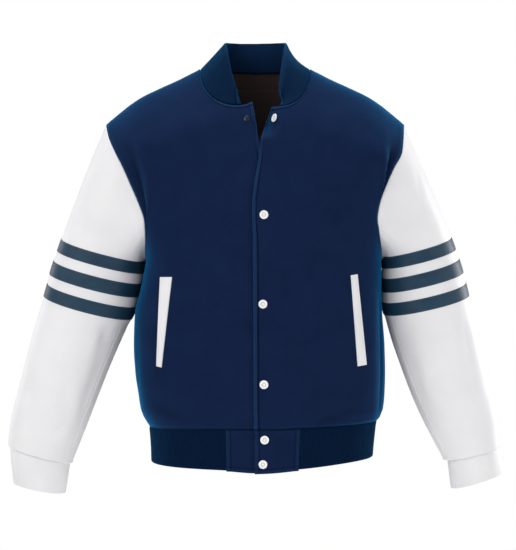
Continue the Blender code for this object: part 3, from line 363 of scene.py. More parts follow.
def reach_along(points, axis=0):
    """Distance of every point of a line or grid from its first, along an axis."""
    step = np.linalg.norm(np.diff(points, axis=axis), axis=-1)
    start = np.zeros_like(np.take(step, [0], axis=axis))
    return np.concatenate((start, np.cumsum(step, axis=axis)), axis=axis)


def read_at(at, reach, values):
    """Columns of values that belong to the distances in reach, read at other distances."""
    return np.stack([np.interp(at, reach, values[:, i]) for i in range(values.shape[1])], axis=-1)


def bell(distance, middle, half):
    """1 at the middle, fading to 0 over about twice the half width."""
    return np.exp(-(((distance - middle) / half) ** 2))


def bells(distance, rows):
    """Sum of bells: rise, middle and half width of each."""
    return sum(rise * bell(distance, middle, half) for rise, middle, half in rows)


def near_path(x, z, path):
    """Distance from a path and share of its length, for points in a plane."""
    path = np.asarray(path, dtype=float)
    reach = reach_along(path)
    away = np.full(np.broadcast(x, z).shape, np.inf)
    share = np.zeros(away.shape)
    for start, along, size, before in zip(path, np.diff(path, axis=0), np.diff(reach), reach):
        t = np.clip(((x - start[0]) * along[0] + (z - start[1]) * along[1]) / size ** 2, 0.0, 1.0)
        gap = np.hypot(x - start[0] - t * along[0], z - start[1] - t * along[1])
        closer = gap < away
        away = np.where(closer, gap, away)
        share = np.where(closer, (before + t * size) / reach[-1], share)
    return away, share


def trough(folds, x, z, start, brim=0.0):
    """Depth of folds at points in a plane.

    A fold starts and ends at this share of a swell along its path. A brim raises the cloth beside it.
    """
    total = np.zeros(np.broadcast(x, z).shape)
    for half, deep, path in folds:
        away, share = near_path(x, z, path)
        swell = np.sin(math.pi * (start + (1 - 2 * start) * share))
        total = total + deep * swell * (bell(away, 0.0, half) - brim * bell(away, 2.2 * half, half))
    return total


# ---------------------------------------------------------------- body form
def section_table():
    """Quarter of the body's section: share of its length, of its width and of its depth."""
    angle = np.linspace(0.0, math.pi / 2, 4001)
    across = np.sin(angle) ** (2 / SECTION_POWER)
    out = np.clip(np.cos(angle), 0.0, 1.0) ** (2 / SECTION_POWER)
    length = reach_along(np.stack((across, SECTION_ASPECT * out), axis=-1))
    return length / length[-1], across, out


SECTION_LENGTH, SECTION_ACROSS, SECTION_OUT = section_table()


def half_width(place, height):
    """Half width of the body form at a height, on the side that place lies on."""
    return np.where(place < 0, read(BODY, 1, height), read(BODY, 2, height))


def place_at(x, height):
    """Place round the body of a point given by its x and height."""
    x = np.asarray(x, dtype=float)
    share = np.clip(np.abs(x) / half_width(x, height), 0.0, 1.0)
    return np.sign(x) * np.interp(share, SECTION_ACROSS, SECTION_LENGTH)


def body_point(place, height, face, lap=False, gap=SEAM_GAP):
    """Point of the body's outside. face is -1 for the front and 1 for the back."""
    place = np.asarray(place, dtype=float)
    height = np.asarray(height, dtype=float)
    place, height = np.broadcast_arrays(place, height)
    size = np.clip(np.abs(place), 0.0, 1.0)
    x = np.sign(place) * half_width(place, height) * np.interp(size, SECTION_LENGTH, SECTION_ACROSS)
    out = np.interp(size, SECTION_LENGTH, SECTION_OUT)
    seam = SHOULDER[face]
    below = np.clip((read(seam, 1, np.abs(x)) - height) / SHOULDER_DROP, 0.0, 1.0)
    round_over = (1 - (1 - below) ** SHOULDER_POWER) ** (1 / SHOULDER_POWER)
    depth = read(BODY, 3 if face < 0 else 4, height) - face * SEAM_DEPTH
    depth = depth - trough(FOLDS[face], x, height, 0.15)
    y = SEAM_DEPTH + face * (gap / 2 + depth * out * round_over)
    if face < 0:
        y = y + neck_curl(x, height)
    if lap:
        y = y - FRONT_LAP * (1 - ease(x, *LAP_FADE))
    return np.stack((x, y, height), axis=-1)


def neck_curl(x, height):
    """How far the open top corner of the left front rolls back towards the neck."""
    across = part(x, *NECK_CURL_ACROSS)
    return NECK_CURL * (1 - across) ** 2 * ease(height, *NECK_CURL_HEIGHTS) * ease(x, 0.0, NECK_CURL_SIDE)


# ---------------------------------------------------------------- borders of the panels
def shoulder_tip(side):
    """Place, height and x of the shoulder seam's outer end, where it meets the armhole."""
    place = side * ARMHOLE[-1][-1][1]
    height = ARMHOLE[-1][-1][0]
    for _ in range(ARMHOLE_ROUNDS):
        x = float(half_width(place, height)) * np.interp(abs(place), SECTION_LENGTH, SECTION_ACROSS)
        height = float(read(SHOULDER_FRONT, 1, x))
    return place, height, x


def armhole_line(side, face, share):
    """(place, height) along an armhole, at shares of its length from the underarm to the shoulder."""
    table = ARMHOLE[face]
    height = np.linspace(table[0][0], shoulder_tip(side)[1], ARMHOLE_STEPS)
    place = side * read(table, 1, height)
    reach = reach_along(body_point(place, height, face))
    return read_at(share * reach[-1], reach, np.stack((place, height), axis=-1))


def side_line(side, face, v):
    """(place, height) up the side seam and on round the armhole."""
    low = float(read(WAIST_SEAM, 1, side * float(half_width(side, WAIST_MIDDLE)))) + SEAM_GAP
    seam_height = low + (UNDERARM - low) * part(v, 0, SIDE_SHARE)
    seam = np.stack((np.full(len(v), float(side)), seam_height), axis=-1)
    return np.where((v <= SIDE_SHARE)[:, None], seam, armhole_line(side, face, part(v, SIDE_SHARE, 1)))


def shoulder_line(side, share):
    """(place, height) along the shoulder seam from the neck to the armhole."""
    tip_place, _, tip_x = shoulder_tip(side)
    x = NECK_X + (tip_x - NECK_X) * share
    height = read(SHOULDER_FRONT, 1, x)
    place = np.where(share >= 1, tip_place, place_at(side * x, height))
    return np.stack((place, height), axis=-1)


def to_places(points):
    """(x, height) points as (place, height)."""
    return np.stack((place_at(points[:, 0], points[:, 1]), points[:, 1]), axis=-1)


def waist_line(places):
    """(place, height) along the waist seam."""
    x = body_point(places, WAIST_MIDDLE, -1)[:, 0]
    return np.stack((places, read(WAIST_SEAM, 1, x) + SEAM_GAP), axis=-1)


def coons(u, v, bottom, top, left, right):
    """Grid of (place, height) inside four borders read at u and v."""
    u = u[None, :, None]
    v = v[:, None, None]
    along = (1 - v) * bottom[None] + v * top[None]
    up = (1 - u) * left[:, None] + u * right[:, None]
    corners = (1 - u) * ((1 - v) * bottom[0] + v * top[0]) + u * ((1 - v) * bottom[-1] + v * top[-1])
    return along + up - corners


def front_patch(side, u, v):
    """(place, height) of a front. Column 0 is the front edge."""
    neck = NECK[side]
    neck_part = to_places(through(neck, part(u, 0, NECK_SHARE) * (len(neck) - 1)))
    top = np.where((u <= NECK_SHARE)[:, None], neck_part, shoulder_line(side, part(u, NECK_SHARE, 1)))
    low = float(read(WAIST_SEAM, 1, 0.0)) + SEAM_GAP
    lower = low + (CREASE_ROW - low) * part(v, 0, SIDE_SHARE)
    upper = CREASE_ROW + (neck[0][1] - CREASE_ROW) * part(v, SIDE_SHARE, 1)
    height = np.where(v <= SIDE_SHARE, lower, upper)
    front = to_places(np.stack((read(EDGE[side], 1, height), height), axis=-1))
    bottom = waist_line(front[0, 0] + (side - front[0, 0]) * u)
    return coons(u, v, bottom, top, front, side_line(side, -1, v))


def back_neck(across):
    """(place, height) along the back's neckline, at shares from the right shoulder (-1) to the left (1)."""
    half = through(NECK_BACK, np.abs(across) * (len(NECK_BACK) - 1))
    return to_places(half * np.stack((np.sign(across), np.ones(len(across))), axis=-1))


def back_patch(u, v):
    """(place, height) of the back, from the right side to the left."""
    start, end = BACK_NECK_SHARE
    right = shoulder_line(-1, 1 - part(u, 0, start))
    left = shoulder_line(1, part(u, end, 1))
    neck = back_neck(part(u, start, end) * 2 - 1)
    top = np.where((u < start)[:, None], right, np.where((u > end)[:, None], left, neck))
    return coons(u, v, waist_line(2 * u - 1), top, side_line(-1, 1, v), side_line(1, 1, v))


def stations(length, step, first, last):
    """Distances from 0 to a length: close together at both ends, evenly between."""
    first = np.asarray(first)
    last = length - np.asarray(last)[::-1]
    count = max(2, int(round((last[0] - first[-1]) / step)))
    return np.concatenate((first, np.linspace(first[-1], last[0], count + 1)[1:-1], last))


def even_rows(patch, u, face, lap, edge):
    """A panel's grid with its rows spaced along every column, as places, heights and distances up the columns."""
    dense = 1 - (1 - np.linspace(0, 1, DENSE_STEPS + 1)) ** 2
    flat = patch(u, dense)
    reach = reach_along(body_point(flat[..., 0], flat[..., 1], face, lap))
    count = len(stations(float(np.median(reach[-1])), PANEL_STEP, edge, edge))
    result = np.empty((count, len(u), 2))
    up = np.empty((count, len(u)))
    for i in range(len(u)):
        total = reach[-1, i]
        middle = np.linspace(edge[-1], total - edge[-1], count - 2 * len(edge) + 2)
        up[:, i] = np.concatenate((edge[:-1], middle, total - np.array(edge[-2::-1])))
        result[:, i] = read_at(up[:, i], reach[:, i], flat[:, i])
    return result, up


# ---------------------------------------------------------------- grids and shells
def facing(normals, points, middle):
    """The same normals, all turned away from a middle point."""
    return normals if np.sum(normals * (points - middle)) > 0 else -normals


def grid_normals(points, closed=False):
    """Normals of a grid, from the differences between its points."""
    if closed:
        across = unit(np.roll(points, -1, axis=1) - points) + unit(points - np.roll(points, 1, axis=1))
    else:
        step = unit(np.diff(points, axis=1))
        across = np.concatenate((step[:, :1], step[:, 1:] + step[:, :-1], step[:, -1:]), axis=1)
    rise = unit(np.diff(points, axis=0))
    climb = np.concatenate((rise[:1], rise[1:] + rise[:-1], rise[-1:]), axis=0)
    return unit(np.cross(across, climb))


class Cloth:
    """A grid of points with its outward normals and its points' distances from its four edges."""

    def __init__(self, points, middle, closed=False, normals=None, low=None):
        self.points = points
        self.middle = middle
        self.closed = closed
        self.normals = facing(grid_normals(points, closed) if normals is None else normals, points, middle)
        self.first = reach_along(points, 1)
        self.last = self.first[:, -1:] - self.first
        self.low = reach_along(points) if low is None else low
        self.high = self.low[-1:] - self.low
        self.flat = np.stack((self.first, self.low), axis=-1)

    def lifted(self, lift):
        """The points moved out along their normals."""
        return self.points + self.normals * np.asarray(lift)[..., None]

    def moved(self, lift):
        """The lifted points as a grid with normals of its own."""
        return Cloth(self.lifted(lift), self.middle, self.closed)

    def line(self, distance, axis, rows=slice(None), columns=slice(None)):
        """Path across a part of the grid, with its normals.

        It keeps a distance from the first or, if negative, the last row (axis 0) or column (axis 1).
        """
        grids = [np.moveaxis(grid[rows, columns], axis, 1) for grid in (self.points, self.normals)]
        if distance < 0:
            grids = [grid[:, ::-1] for grid in grids]
        reach = reach_along(grids[0], 1)
        path, out = (np.array([read_at(abs(distance), at, row) for at, row in zip(reach, grid)]) for grid in grids)
        return path, unit(out)


def rolled(distance, radius):
    """How deep a rounded edge lies at a distance from it."""
    rest = np.clip(radius - distance, 0.0, radius)
    return radius - np.sqrt(np.maximum(radius ** 2 - rest ** 2, 0.0))


SHADING_ATTRIBUTE = "painted_shading"                # attribute of painted light (towards 1) and painted shade (towards -1) on wool and knit
SHARP_ANGLE = math.radians(70)


def shell(outside, inside, closed=False, trim=0):
    """Vertices, faces and material numbers of a wall: 0 outside, on the rims and on the inside's trim, else 1."""
    rows, columns = outside.shape[:2]
    total = rows * columns
    number = np.arange(total).reshape(rows, columns)
    if closed:
        number = np.concatenate((number, number[:, :1]), axis=1)
    grid = np.stack((number[:-1, :-1], number[:-1, 1:], number[1:, 1:], number[1:, :-1]), axis=-1)
    rims = [(number[0, 1:], number[0, :-1]), (number[-1, :-1], number[-1, 1:])]
    if not closed:
        rims += [(number[:-1, 0], number[1:, 0]), (number[1:, -1], number[:-1, -1])]
    faces = [grid.reshape(-1, 4), grid[..., (0, 3, 2, 1)].reshape(-1, 4) + total]
    faces = np.concatenate(faces + [np.stack((a, b, b + total, a + total), axis=1) for a, b in rims])
    inner = np.zeros(grid.shape[:2], int)
    inner[trim:len(inner) - trim, trim:inner.shape[1] - trim] = 1
    looks = np.zeros(len(faces), int)
    looks[inner.size:2 * inner.size] = inner.ravel()
    return np.concatenate((outside.reshape(-1, 3), inside.reshape(-1, 3))), faces, looks


def add_object(name, data):
    """A new object in the scene."""
    item = bpy.data.objects.new(name, data)
    bpy.context.scene.collection.objects.link(item)
    return item


def mesh_object(name, vertices, faces, looks, materials, flat=None, painted_shading=None):
    """A smooth mesh object. flat gives every vertex its place on the uncut cloth, in metres; the last argument
    gives it painted light (positive) and painted shade (negative).
    """
    mesh = bpy.data.meshes.new(name)
    mesh.vertices.add(len(vertices))
    mesh.vertices.foreach_set("co", np.asarray(vertices, dtype=np.float32).ravel())
    mesh.loops.add(faces.size)
    mesh.loops.foreach_set("vertex_index", faces.ravel().astype(np.int32))
    mesh.polygons.add(len(faces))
    mesh.polygons.foreach_set("loop_start", (np.arange(len(faces)) * faces.shape[1]).astype(np.int32))
    mesh.polygons.foreach_set("material_index", np.asarray(looks, dtype=np.int32))
    mesh.update(calc_edges=True)
    mesh.validate()
    mesh.shade_smooth()
    mesh.set_sharp_from_angle(angle=SHARP_ANGLE)
    if flat is not None:
        layer = mesh.uv_layers.new(name="cloth")
        layer.uv.foreach_set("vector", flat[faces.ravel()].astype(np.float32).ravel())
    if painted_shading is not None:
        mesh.attributes.new(SHADING_ATTRIBUTE, "FLOAT", "POINT").data.foreach_set("value", painted_shading.astype(np.float32))
    for look in materials:
        mesh.materials.append(look)
    return add_object(name, mesh)


def add_shell(name, node, slot, outside, inside, materials, closed=False, flat=None, trim=0, painted_shading=None,
              painted_shading_inside=0.0):
    """A wall that stands for a solid, turned so that its first grid faces out."""
    vertices, faces, looks = shell(outside, inside, closed, trim)
    # painted light and shade of the outside, clipped to -1..1; the inside takes one even value
    if painted_shading is not None:
        painted_shading = np.concatenate((np.clip(painted_shading, -1, 1).ravel(), np.full(painted_shading.size, painted_shading_inside)))
    if flat is not None:
        flat = np.tile(flat.reshape(-1, 2), (2, 1))
    face = faces[len(faces) // 5]
    corner = vertices[face]
    through_wall = corner[0] - vertices[face[0] + outside.shape[0] * outside.shape[1]]
    if np.cross(corner[1] - corner[0], corner[2] - corner[1]) @ through_wall < 0:
        faces = faces[:, ::-1]
    return settle(mesh_object(name, vertices, faces, looks, materials, flat, painted_shading), node, slot=slot)


def settle(piece, *nodes, slot):
    """The piece rides on the jacket and stands for its solids, which are hidden."""
    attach(piece, "root")
    if nodes:
        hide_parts(*nodes)
    return piece


# ---------------------------------------------------------------- stitches
# length of a stitch, gap to the next, radius of the thread
WOOL_STITCH = (0.0032, 0.0011, 0.00028)
WELT_STITCH = (0.0026, 0.0008, 0.00022)
SLEEVE_STITCH = (0.0026, 0.0010, 0.00022)
BAND_STITCH = (0.0026, 0.0009, 0.00022)
CUFF_STITCH = (0.0028, 0.0009, 0.00024)
STITCH_SIDES = 4           # as the columns of a square, so both ends are one face
STITCH_SINK = 0.3          # of the thread's radius
# rings of a stitch: share of its length, of the thread's thickness, height over the cloth in radii
STITCH_RINGS = (
    (0.0, 0.25, -0.9), (0.18, 0.85, 0.0), (0.5, 1.0, 0.35), (0.82, 0.85, 0.0), (1.0, 0.25, -0.9),
)


def stitch_line(path, normals, size):
    """Vertices and faces of a row of stitches that follow a path on a surface."""
    length, gap, radius = size
    reach = reach_along(path)
    count = int(reach[-1] / (length + gap))
    if count < 1:
        return np.zeros((0, 3)), np.zeros((0, 4), int)
    share, thick, lift = np.array(STITCH_RINGS).T
    at = (np.arange(count)[:, None] + 0.5) * (reach[-1] / count) + (share - 0.5) * length
    centre = read_at(at, reach, path)
    out = unit(read_at(at, reach, normals))
    across = unit(np.cross(unit(np.gradient(centre, axis=1)), out))
    centre = centre + out * ((lift - STITCH_SINK) * radius)[:, None]
    turn = np.linspace(0, 2 * math.pi, STITCH_SIDES, endpoint=False)[:, None]
    points = centre[:, :, None] + radius * thick[:, None, None] * (np.cos(turn) * across[:, :, None]
                                                                   + np.sin(turn) * out[:, :, None])
    number = np.arange(count * len(share) * STITCH_SIDES).reshape(count, len(share), STITCH_SIDES)
    after = np.roll(number, -1, axis=2)
    side = np.stack((number[:, :-1], after[:, :-1], after[:, 1:], number[:, 1:]), axis=-1).reshape(-1, 4)
    return points.reshape(-1, 3), np.concatenate((side, number[:, 0, ::-1], number[:, -1]))


def add_stitches(name, lines, look, slot, size=WOOL_STITCH):
    """Rows of stitches as one object. lines holds (path, normals) pairs."""
    rows = [stitch_line(path, normals, size) for path, normals in lines]
    starts = np.cumsum([0] + [len(points) for points, _ in rows])
    points = np.concatenate([points for points, _ in rows])
    faces = np.concatenate([quads + start for (_, quads), start in zip(rows, starts)])
    settle(mesh_object(name, points, faces, np.zeros(len(faces), int), [look]), slot=slot)


# ---------------------------------------------------------------- materials
class Look:
    """A node material built up call by call."""

    def __init__(self, name, colour, roughness, **settings):
        self.material = bpy.data.materials.new(name)
        self.material.use_nodes = True
        self.material.diffuse_color = (*colour, 1.0)
        self.tree = self.material.node_tree
        self.shader = self.tree.nodes["Principled BSDF"]
        self.relief = None
        self.fill(self.shader, {"Base Color": colour, "Roughness": roughness})
        self.fill(self.shader, {socket.replace("_", " "): value for socket, value in settings.items()})

    def fill(self, node, inputs):
        """Gives a node's inputs their values: numbers, colours or outputs of other nodes."""
        for key, value in inputs.items():
            socket = node.inputs[key]
            if isinstance(value, bpy.types.NodeSocket):
                self.tree.links.new(value, socket)
            else:
                socket.default_value = (*value, 1.0) if socket.type == "RGBA" else value

    def node(self, kind, inputs, output=0, **settings):
        """An output of a new node."""
        found = self.tree.nodes.new("ShaderNode" + kind)
        for key, value in settings.items():
            setattr(found, key, value)
        self.fill(found, inputs)
        return found.outputs[output]

    def place(self, stretch=(1, 1, 1), cloth=False):
        """Coordinates in metres: the object's own, or the flat cloth's."""
        start = self.node("UVMap", {}, uv_map="cloth") if cloth else self.node("TexCoord", {}, "Object")
        return self.node("Mapping", {"Vector": start, "Scale": stretch})

    def noise(self, scale, detail=3.0, roughness=0.5, **where):
        """Cloudy noise."""
        inputs = {"Scale": scale, "Detail": detail, "Roughness": roughness, "Vector": self.place(**where)}
        return self.node("TexNoise", inputs, "Fac")

    def cells(self, scale):
        """Distance from the middles of small cells."""
        return self.node("TexVoronoi", {"Scale": scale, "Vector": self.place()}, "Distance")

    def waves(self, scale, distortion=0.0, direction="X", **where):
        """Even waves."""
        inputs = {"Scale": scale, "Distortion": distortion, "Vector": self.place(**where)}
        return self.node("TexWave", inputs, "Fac", bands_direction=direction)

    def spread(self, value, to_low=0.0, to_high=1.0, low=0.3, high=0.7):
        """A value's range from low to high, stretched to another range."""
        inputs = {"Value": value, "From Min": low, "From Max": high, "To Min": to_low, "To Max": to_high}
        return self.node("MapRange", inputs)

    def colours(self, share, first, second):
        """Colour that runs from the first to the second, each a colour or another node's output."""
        return self.node("Mix", {"Factor": share, 6: first, 7: second}, 2, data_type="RGBA")

    def base(self, value):
        """Takes a value as the base colour."""
        self.fill(self.shader, {"Base Color": value})

    def paint_light_and_shade(self, value, painted_shade, painted_light, painted_highlight=None):
        """Base colour with painted shade where the attribute is below 0, painted light where it is above 0, and a
        painted highlight colour from 1 to 2.
        """
        rise = self.node("Attribute", {}, "Fac", attribute_name=SHADING_ATTRIBUTE)
        light = self.colours(self.spread(rise, low=0.0, high=1.0), value, painted_light)
        if painted_highlight is not None:
            light = self.colours(self.spread(rise, low=1.0, high=2.0), light, painted_highlight)
        self.base(self.colours(self.spread(rise, low=-1.0, high=0.0), painted_shade, light))

    def bump(self, height, distance, strength=1.0):
        """Adds a layer of relief, distance metres deep."""
        inputs = {"Strength": strength, "Distance": distance, "Height": height}
        if self.relief is not None:
            inputs["Normal"] = self.relief
        self.relief = self.node("Bump", inputs)
        self.fill(self.shader, {"Normal": self.relief})


def wave_scale(length):
    """Scale of a wave texture whose waves are about a length apart."""
    return 1 / (2 * math.pi) / length * 2.0


def wool_look():
    """Navy melton: short matted fibres that catch light at their edges, with painted light and shade over its
    colour.
    """
    look = Look("melton_wool", (0.0045, 0.0130, 0.0520), 0.95, Sheen_Weight=0.64, Sheen_Roughness=0.35,
                Sheen_Tint=(0.0, 0.41, 1.0), Specular_IOR_Level=0.06)
    cloud = look.noise(26.0, 3.0, 0.55)
    mottle = look.noise(420.0, 4.0, 0.65)
    mixed = look.node("Math", {0: look.spread(cloud, to_high=0.45), 1: look.spread(mottle, to_high=0.55)})
    cloth = look.colours(mixed, (0.0038, 0.0106, 0.0415), (0.0074, 0.0172, 0.0600))
    # colours of painted shade, painted light and a painted highlight, laid over the wool by the mesh attribute
    look.paint_light_and_shade(cloth, (0.0012, 0.0036, 0.0150), (0.0140, 0.0460, 0.1200), (0.0550, 0.2400, 0.4800))
    look.bump(look.noise(1500.0, 3.0, 0.6), 0.00022, 0.7)
    look.bump(look.noise(520.0, 3.0, 0.6, stretch=(1.0, 1.0, 0.55)), 0.0004, 0.45)
    look.bump(cloud, 0.0030, 0.10)
    return look.material


def rib_look():
    """Navy rib knit: the ribs are modelled, the stitches are relief."""
    look = Look("rib_knit", (0.0014, 0.0090, 0.0330), 0.92, Sheen_Weight=0.42, Sheen_Roughness=0.36,
                Sheen_Tint=(0.0, 0.44, 1.0), Specular_IOR_Level=0.05)
    loops = look.waves(wave_scale(0.0016), 1.2, "Y", cloth=True)
    fuzz = look.noise(900.0, 3.0, 0.6)
    knit = look.colours(look.spread(fuzz), (0.0010, 0.0070, 0.0265), (0.0021, 0.0116, 0.0405))
    # colours of painted shade and painted light, laid over the knit by the mesh attribute
    look.paint_light_and_shade(knit, (0.0006, 0.0035, 0.0140), (0.0060, 0.0270, 0.0800))
    look.bump(loops, 0.00035, 0.6)
    look.bump(fuzz, 0.00025, 0.5)
    return look.material


def leather_look():
    """White smooth leather with a fine pebbled grain."""
    look = Look("white_leather", (0.78, 0.775, 0.79), 0.48, Specular_IOR_Level=0.28, Coat_Weight=0.04,
                Coat_Roughness=0.40)
    look.base(look.colours(look.spread(look.noise(14.0)), (0.800, 0.792, 0.812), (0.845, 0.836, 0.846)))
    grain = look.cells(820.0)
    fine = look.noise(1400.0, 2.0)
    look.fill(look.shader, {"Roughness": look.spread(look.noise(60.0, 3.0, 0.6), 0.42, 0.54)})
    look.bump(grain, 0.00016, 0.5)
    look.bump(fine, 0.00008, 0.5)
    look.bump(look.noise(38.0, 4.0, 0.6), 0.0012, 0.16)
    return look.material


def band_look():
    """Dark smooth leather of the sleeve bands."""
    look = Look("dark_leather", (0.012, 0.045, 0.082), 0.46, Specular_IOR_Level=0.26, Coat_Weight=0.05,
                Coat_Roughness=0.35)
    look.base(look.colours(look.spread(look.noise(40.0)), (0.0085, 0.034, 0.066), (0.0125, 0.047, 0.086)))
    look.bump(look.cells(900.0), 0.00014, 0.5)
    look.bump(look.noise(160.0, 3.0, 0.6), 0.0005, 0.22)
    return look.material


def lining_look():
    """Dark brown twill lining."""
    look = Look("brown_twill", (0.034, 0.022, 0.020), 0.60, Sheen_Weight=0.10, Specular_IOR_Level=0.2)
    twill = look.waves(wave_scale(0.0008), 0.3, "DIAGONAL")
    look.base(look.colours(twill, (0.0440, 0.0290, 0.0270), (0.0640, 0.0420, 0.0380)))
    look.bump(twill, 0.00015, 0.5)
    look.bump(look.noise(30.0), 0.0015, 0.2)
    return look.material


def enamel_look():
    """White enamelled snap caps."""
    look = Look("white_enamel", (0.90, 0.90, 0.92), 0.22, Specular_IOR_Level=0.5, Coat_Weight=0.4,
                Coat_Roughness=0.08)
    look.bump(look.noise(300.0, 2.0), 0.00006, 0.3)
    look.base(look.colours(look.noise(220.0), (0.88, 0.88, 0.90), (0.92, 0.92, 0.93)))
    return look.material


def ring_look():
    """Bare grey ring sunk in a snap's cap."""
    look = Look("snap_ring", (0.66, 0.65, 0.62), 0.35, Specular_IOR_Level=0.5)
    look.base(look.colours(look.noise(260.0), (0.62, 0.61, 0.58), (0.72, 0.71, 0.68)))
    look.bump(look.noise(500.0, 2.0), 0.00004, 0.4)
    return look.material


def metal_look():
    """Dark plated metal of the open snap's stud."""
    look = Look("dark_metal", (0.035, 0.040, 0.055), 0.30, Metallic=1.0)
    look.fill(look.shader, {"Roughness": look.spread(look.noise(400.0), 0.22, 0.40)})
    look.bump(look.noise(700.0), 0.00005, 0.4)
    return look.material


def thread_look(name, colour):
    """Sewing thread."""
    look = Look(name, colour, 0.8, Specular_IOR_Level=0.1)
    look.bump(look.waves(500.0, 0.0, "DIAGONAL"), 0.00008, 0.5)
    return look.material


def floor_look():
    """Pale matte studio floor."""
    look = Look("floor", (0.88, 0.88, 0.88), 0.9, Specular_IOR_Level=0.1)
    look.base(look.colours(look.noise(3.0), (0.87, 0.87, 0.87), (0.89, 0.89, 0.89)))
    return look.material


def make_looks():
    """Every look of the jacket, by a short name."""
    return {
        "wool": wool_look(),
        "rib": rib_look(),
        "leather": leather_look(),
        "band": band_look(),
        "lining": lining_look(),
        "enamel": enamel_look(),
        "ring": ring_look(),
        "metal": metal_look(),
        "navy_thread": thread_look("navy_thread", (0.0028, 0.0100, 0.0400)),
        "white_thread": thread_look("white_thread", (0.74, 0.74, 0.75)),
        "band_thread": thread_look("band_thread", (0.10, 0.17, 0.24)),
    }


# ---------------------------------------------------------------- body panels
FRONT_WIDTH = 0.29         # about, for the spacing of the columns
BACK_WIDTH = 0.56
EDGE_ROLL = 0.0008         # radius of a sewn wool edge
FOLD_ROLL = 0.0020         # radius of a folded wool edge
STRIP_WIDTH = 0.0080       # from the front edge to its topstitching
NECK_STITCH_AT = 0.0072    # topstitching beside the collar's seam
# relief of the wool beside its edges, and painted light (positive) and painted shade (negative) there: rise,
# distance of its middle, half width
NECK_RELIEF = (
    (0.0012, 0.0043, 0.0016), (-0.0014, 0.0, 0.0018), (-0.0011, 0.0074, 0.0010),
)
NECK_PAINTED_SHADING = (
    (0.80, 0.0043, 0.0015), (-1.3, 0.0, 0.0021), (-0.9, 0.0074, 0.0011),
)
STRIP_RELIEF = (
    (0.0014, 0.0040, 0.0026), (0.0004, 0.0130, 0.0032), (-0.0014, STRIP_WIDTH, 0.0013),
)
# painted shade along a seam and faint painted light over its allowance
SEAM_PAINTED_SHADING = (
    (0.08, 0.0042, 0.0024),
    (-0.80, 0.0, 0.0016),
)
# the furrow that runs down beside an armhole, by side: height, distance of its ridge from the seam, strength
ARMHOLE_FURROW = {
    -1: (
        (-0.312, 0.0050, 0.0), (-0.290, 0.0070, 0.5), (-0.266, 0.0130, 0.9), (-0.232, 0.0300, 1.0),
        (-0.207, 0.0385, 0.9), (-0.177, 0.0440, 0.6), (-0.156, 0.0470, 0.3), (-0.125, 0.0490, 0.0),
    ),
    1: (
        (-0.250, 0.0045, 0.0), (-0.225, 0.0060, 0.7), (-0.210, 0.0085, 1.1), (-0.189, 0.0165, 1.3),
        (-0.167, 0.0255, 1.3), (-0.150, 0.0325, 1.0), (-0.135, 0.0370, 0.4), (-0.118, 0.0390, 0.0),
    ),
}
# its relief, and its painted light on the ridge and painted shade in the furrow: rise, and middle and half width as
# shares of the ridge's distance
FURROW_RELIEF = (
    (0.0022, 1.0, 0.20),
    (-0.0036, 0.66, 0.22),
)
FURROW_PAINTED_SHADING = (
    (0.38, 0.98, 0.13), (-1.00, 0.74, 0.15), (-0.30, 0.35, 0.30),
)
CREASE_PAINTED_SHADING = 600.0         # painted shade in a crease's trough and painted light on its ridge, for a metre of its relief
# sharp small creases of the wool by face: half width, depth (negative for a ridge), path of x and height
CREASES = {
    -1: (
        (0.0028, 0.0018, ((0.2130, -0.400), (0.2140, -0.440), (0.2150, -0.520), (0.2125, -0.604))),
        (0.0036, -0.0022, ((0.2070, -0.385), (0.2072, -0.450), (0.2080, -0.530), (0.2050, -0.600))),
        (0.0090, -0.0005, ((0.2090, -0.390), (0.2100, -0.460), (0.2100, -0.530), (0.2070, -0.600))),
        (0.0045, 0.0012, ((-0.2010, -0.452), (-0.2020, -0.520), (-0.1975, -0.600))),
        (0.0070, 0.0005, ((-0.175, -0.575), (-0.150, -0.590), (-0.110, -0.604))),
        (0.0070, 0.0005, ((0.170, -0.585), (0.140, -0.596), (0.095, -0.606))),
    ),
    1: (
        (0.0050, 0.0014, ((0.2020, -0.450), (0.2040, -0.530), (0.2000, -0.600))),
        (0.0050, 0.0013, ((-0.1900, -0.460), (-0.1910, -0.530), (-0.1860, -0.600))),
        (0.0085, 0.0014, ((-0.120, -0.588), (-0.070, -0.600), (-0.020, -0.602))),
        (0.0080, 0.0012, ((0.060, -0.596), (0.100, -0.590), (0.150, -0.598))),
    ),
}
TIP_SOFT = 0.014           # the edges' relief fades over this distance from the shoulder tip


def seam_relief(distance, dip=0.0003, ridge=0.0006):
    """Height of the wool beside a seam: rolled in at the seam, raised over the seam allowance."""
    return bells(distance, ((ridge, 0.0085, 0.0042), (-dip, 0.0, 0.0030))) - rolled(distance, EDGE_ROLL)


def armhole_furrow(distance, height, side):
    """Relief of the furrow and ridge of the wool that run down beside an armhole, with painted shade in the furrow
    and painted light on the ridge.
    """
    ridge_at = read(ARMHOLE_FURROW[side], 1, height)
    strength = read(ARMHOLE_FURROW[side], 2, height)
    share = distance / ridge_at
    return strength * ease(distance, 0.0, 0.0035) * bells(share, FURROW_RELIEF), strength * bells(share, FURROW_PAINTED_SHADING)


def strip_share(height):
    """How strong the strip along a front edge is: it flattens out below the open top corner."""
    return 0.30 + 0.70 * ease(-height, 0.135, 0.175)


def strip_relief(distance, height=WAIST_MIDDLE):
    """Height of the wool beside a folded, topstitched front edge."""
    return bells(distance, STRIP_RELIEF) * strip_share(height) - rolled(distance, FOLD_ROLL)


def strip_painted_shading(distance, height=WAIST_MIDDLE):
    """Painted light on a folded edge's strip and painted shade in its topstitched groove."""
    strip = 0.40 * (1 - ease(distance, 0.0055, 0.0078)) - 0.80 * bell(distance, STRIP_WIDTH, 0.0012)
    return strip * strip_share(height)


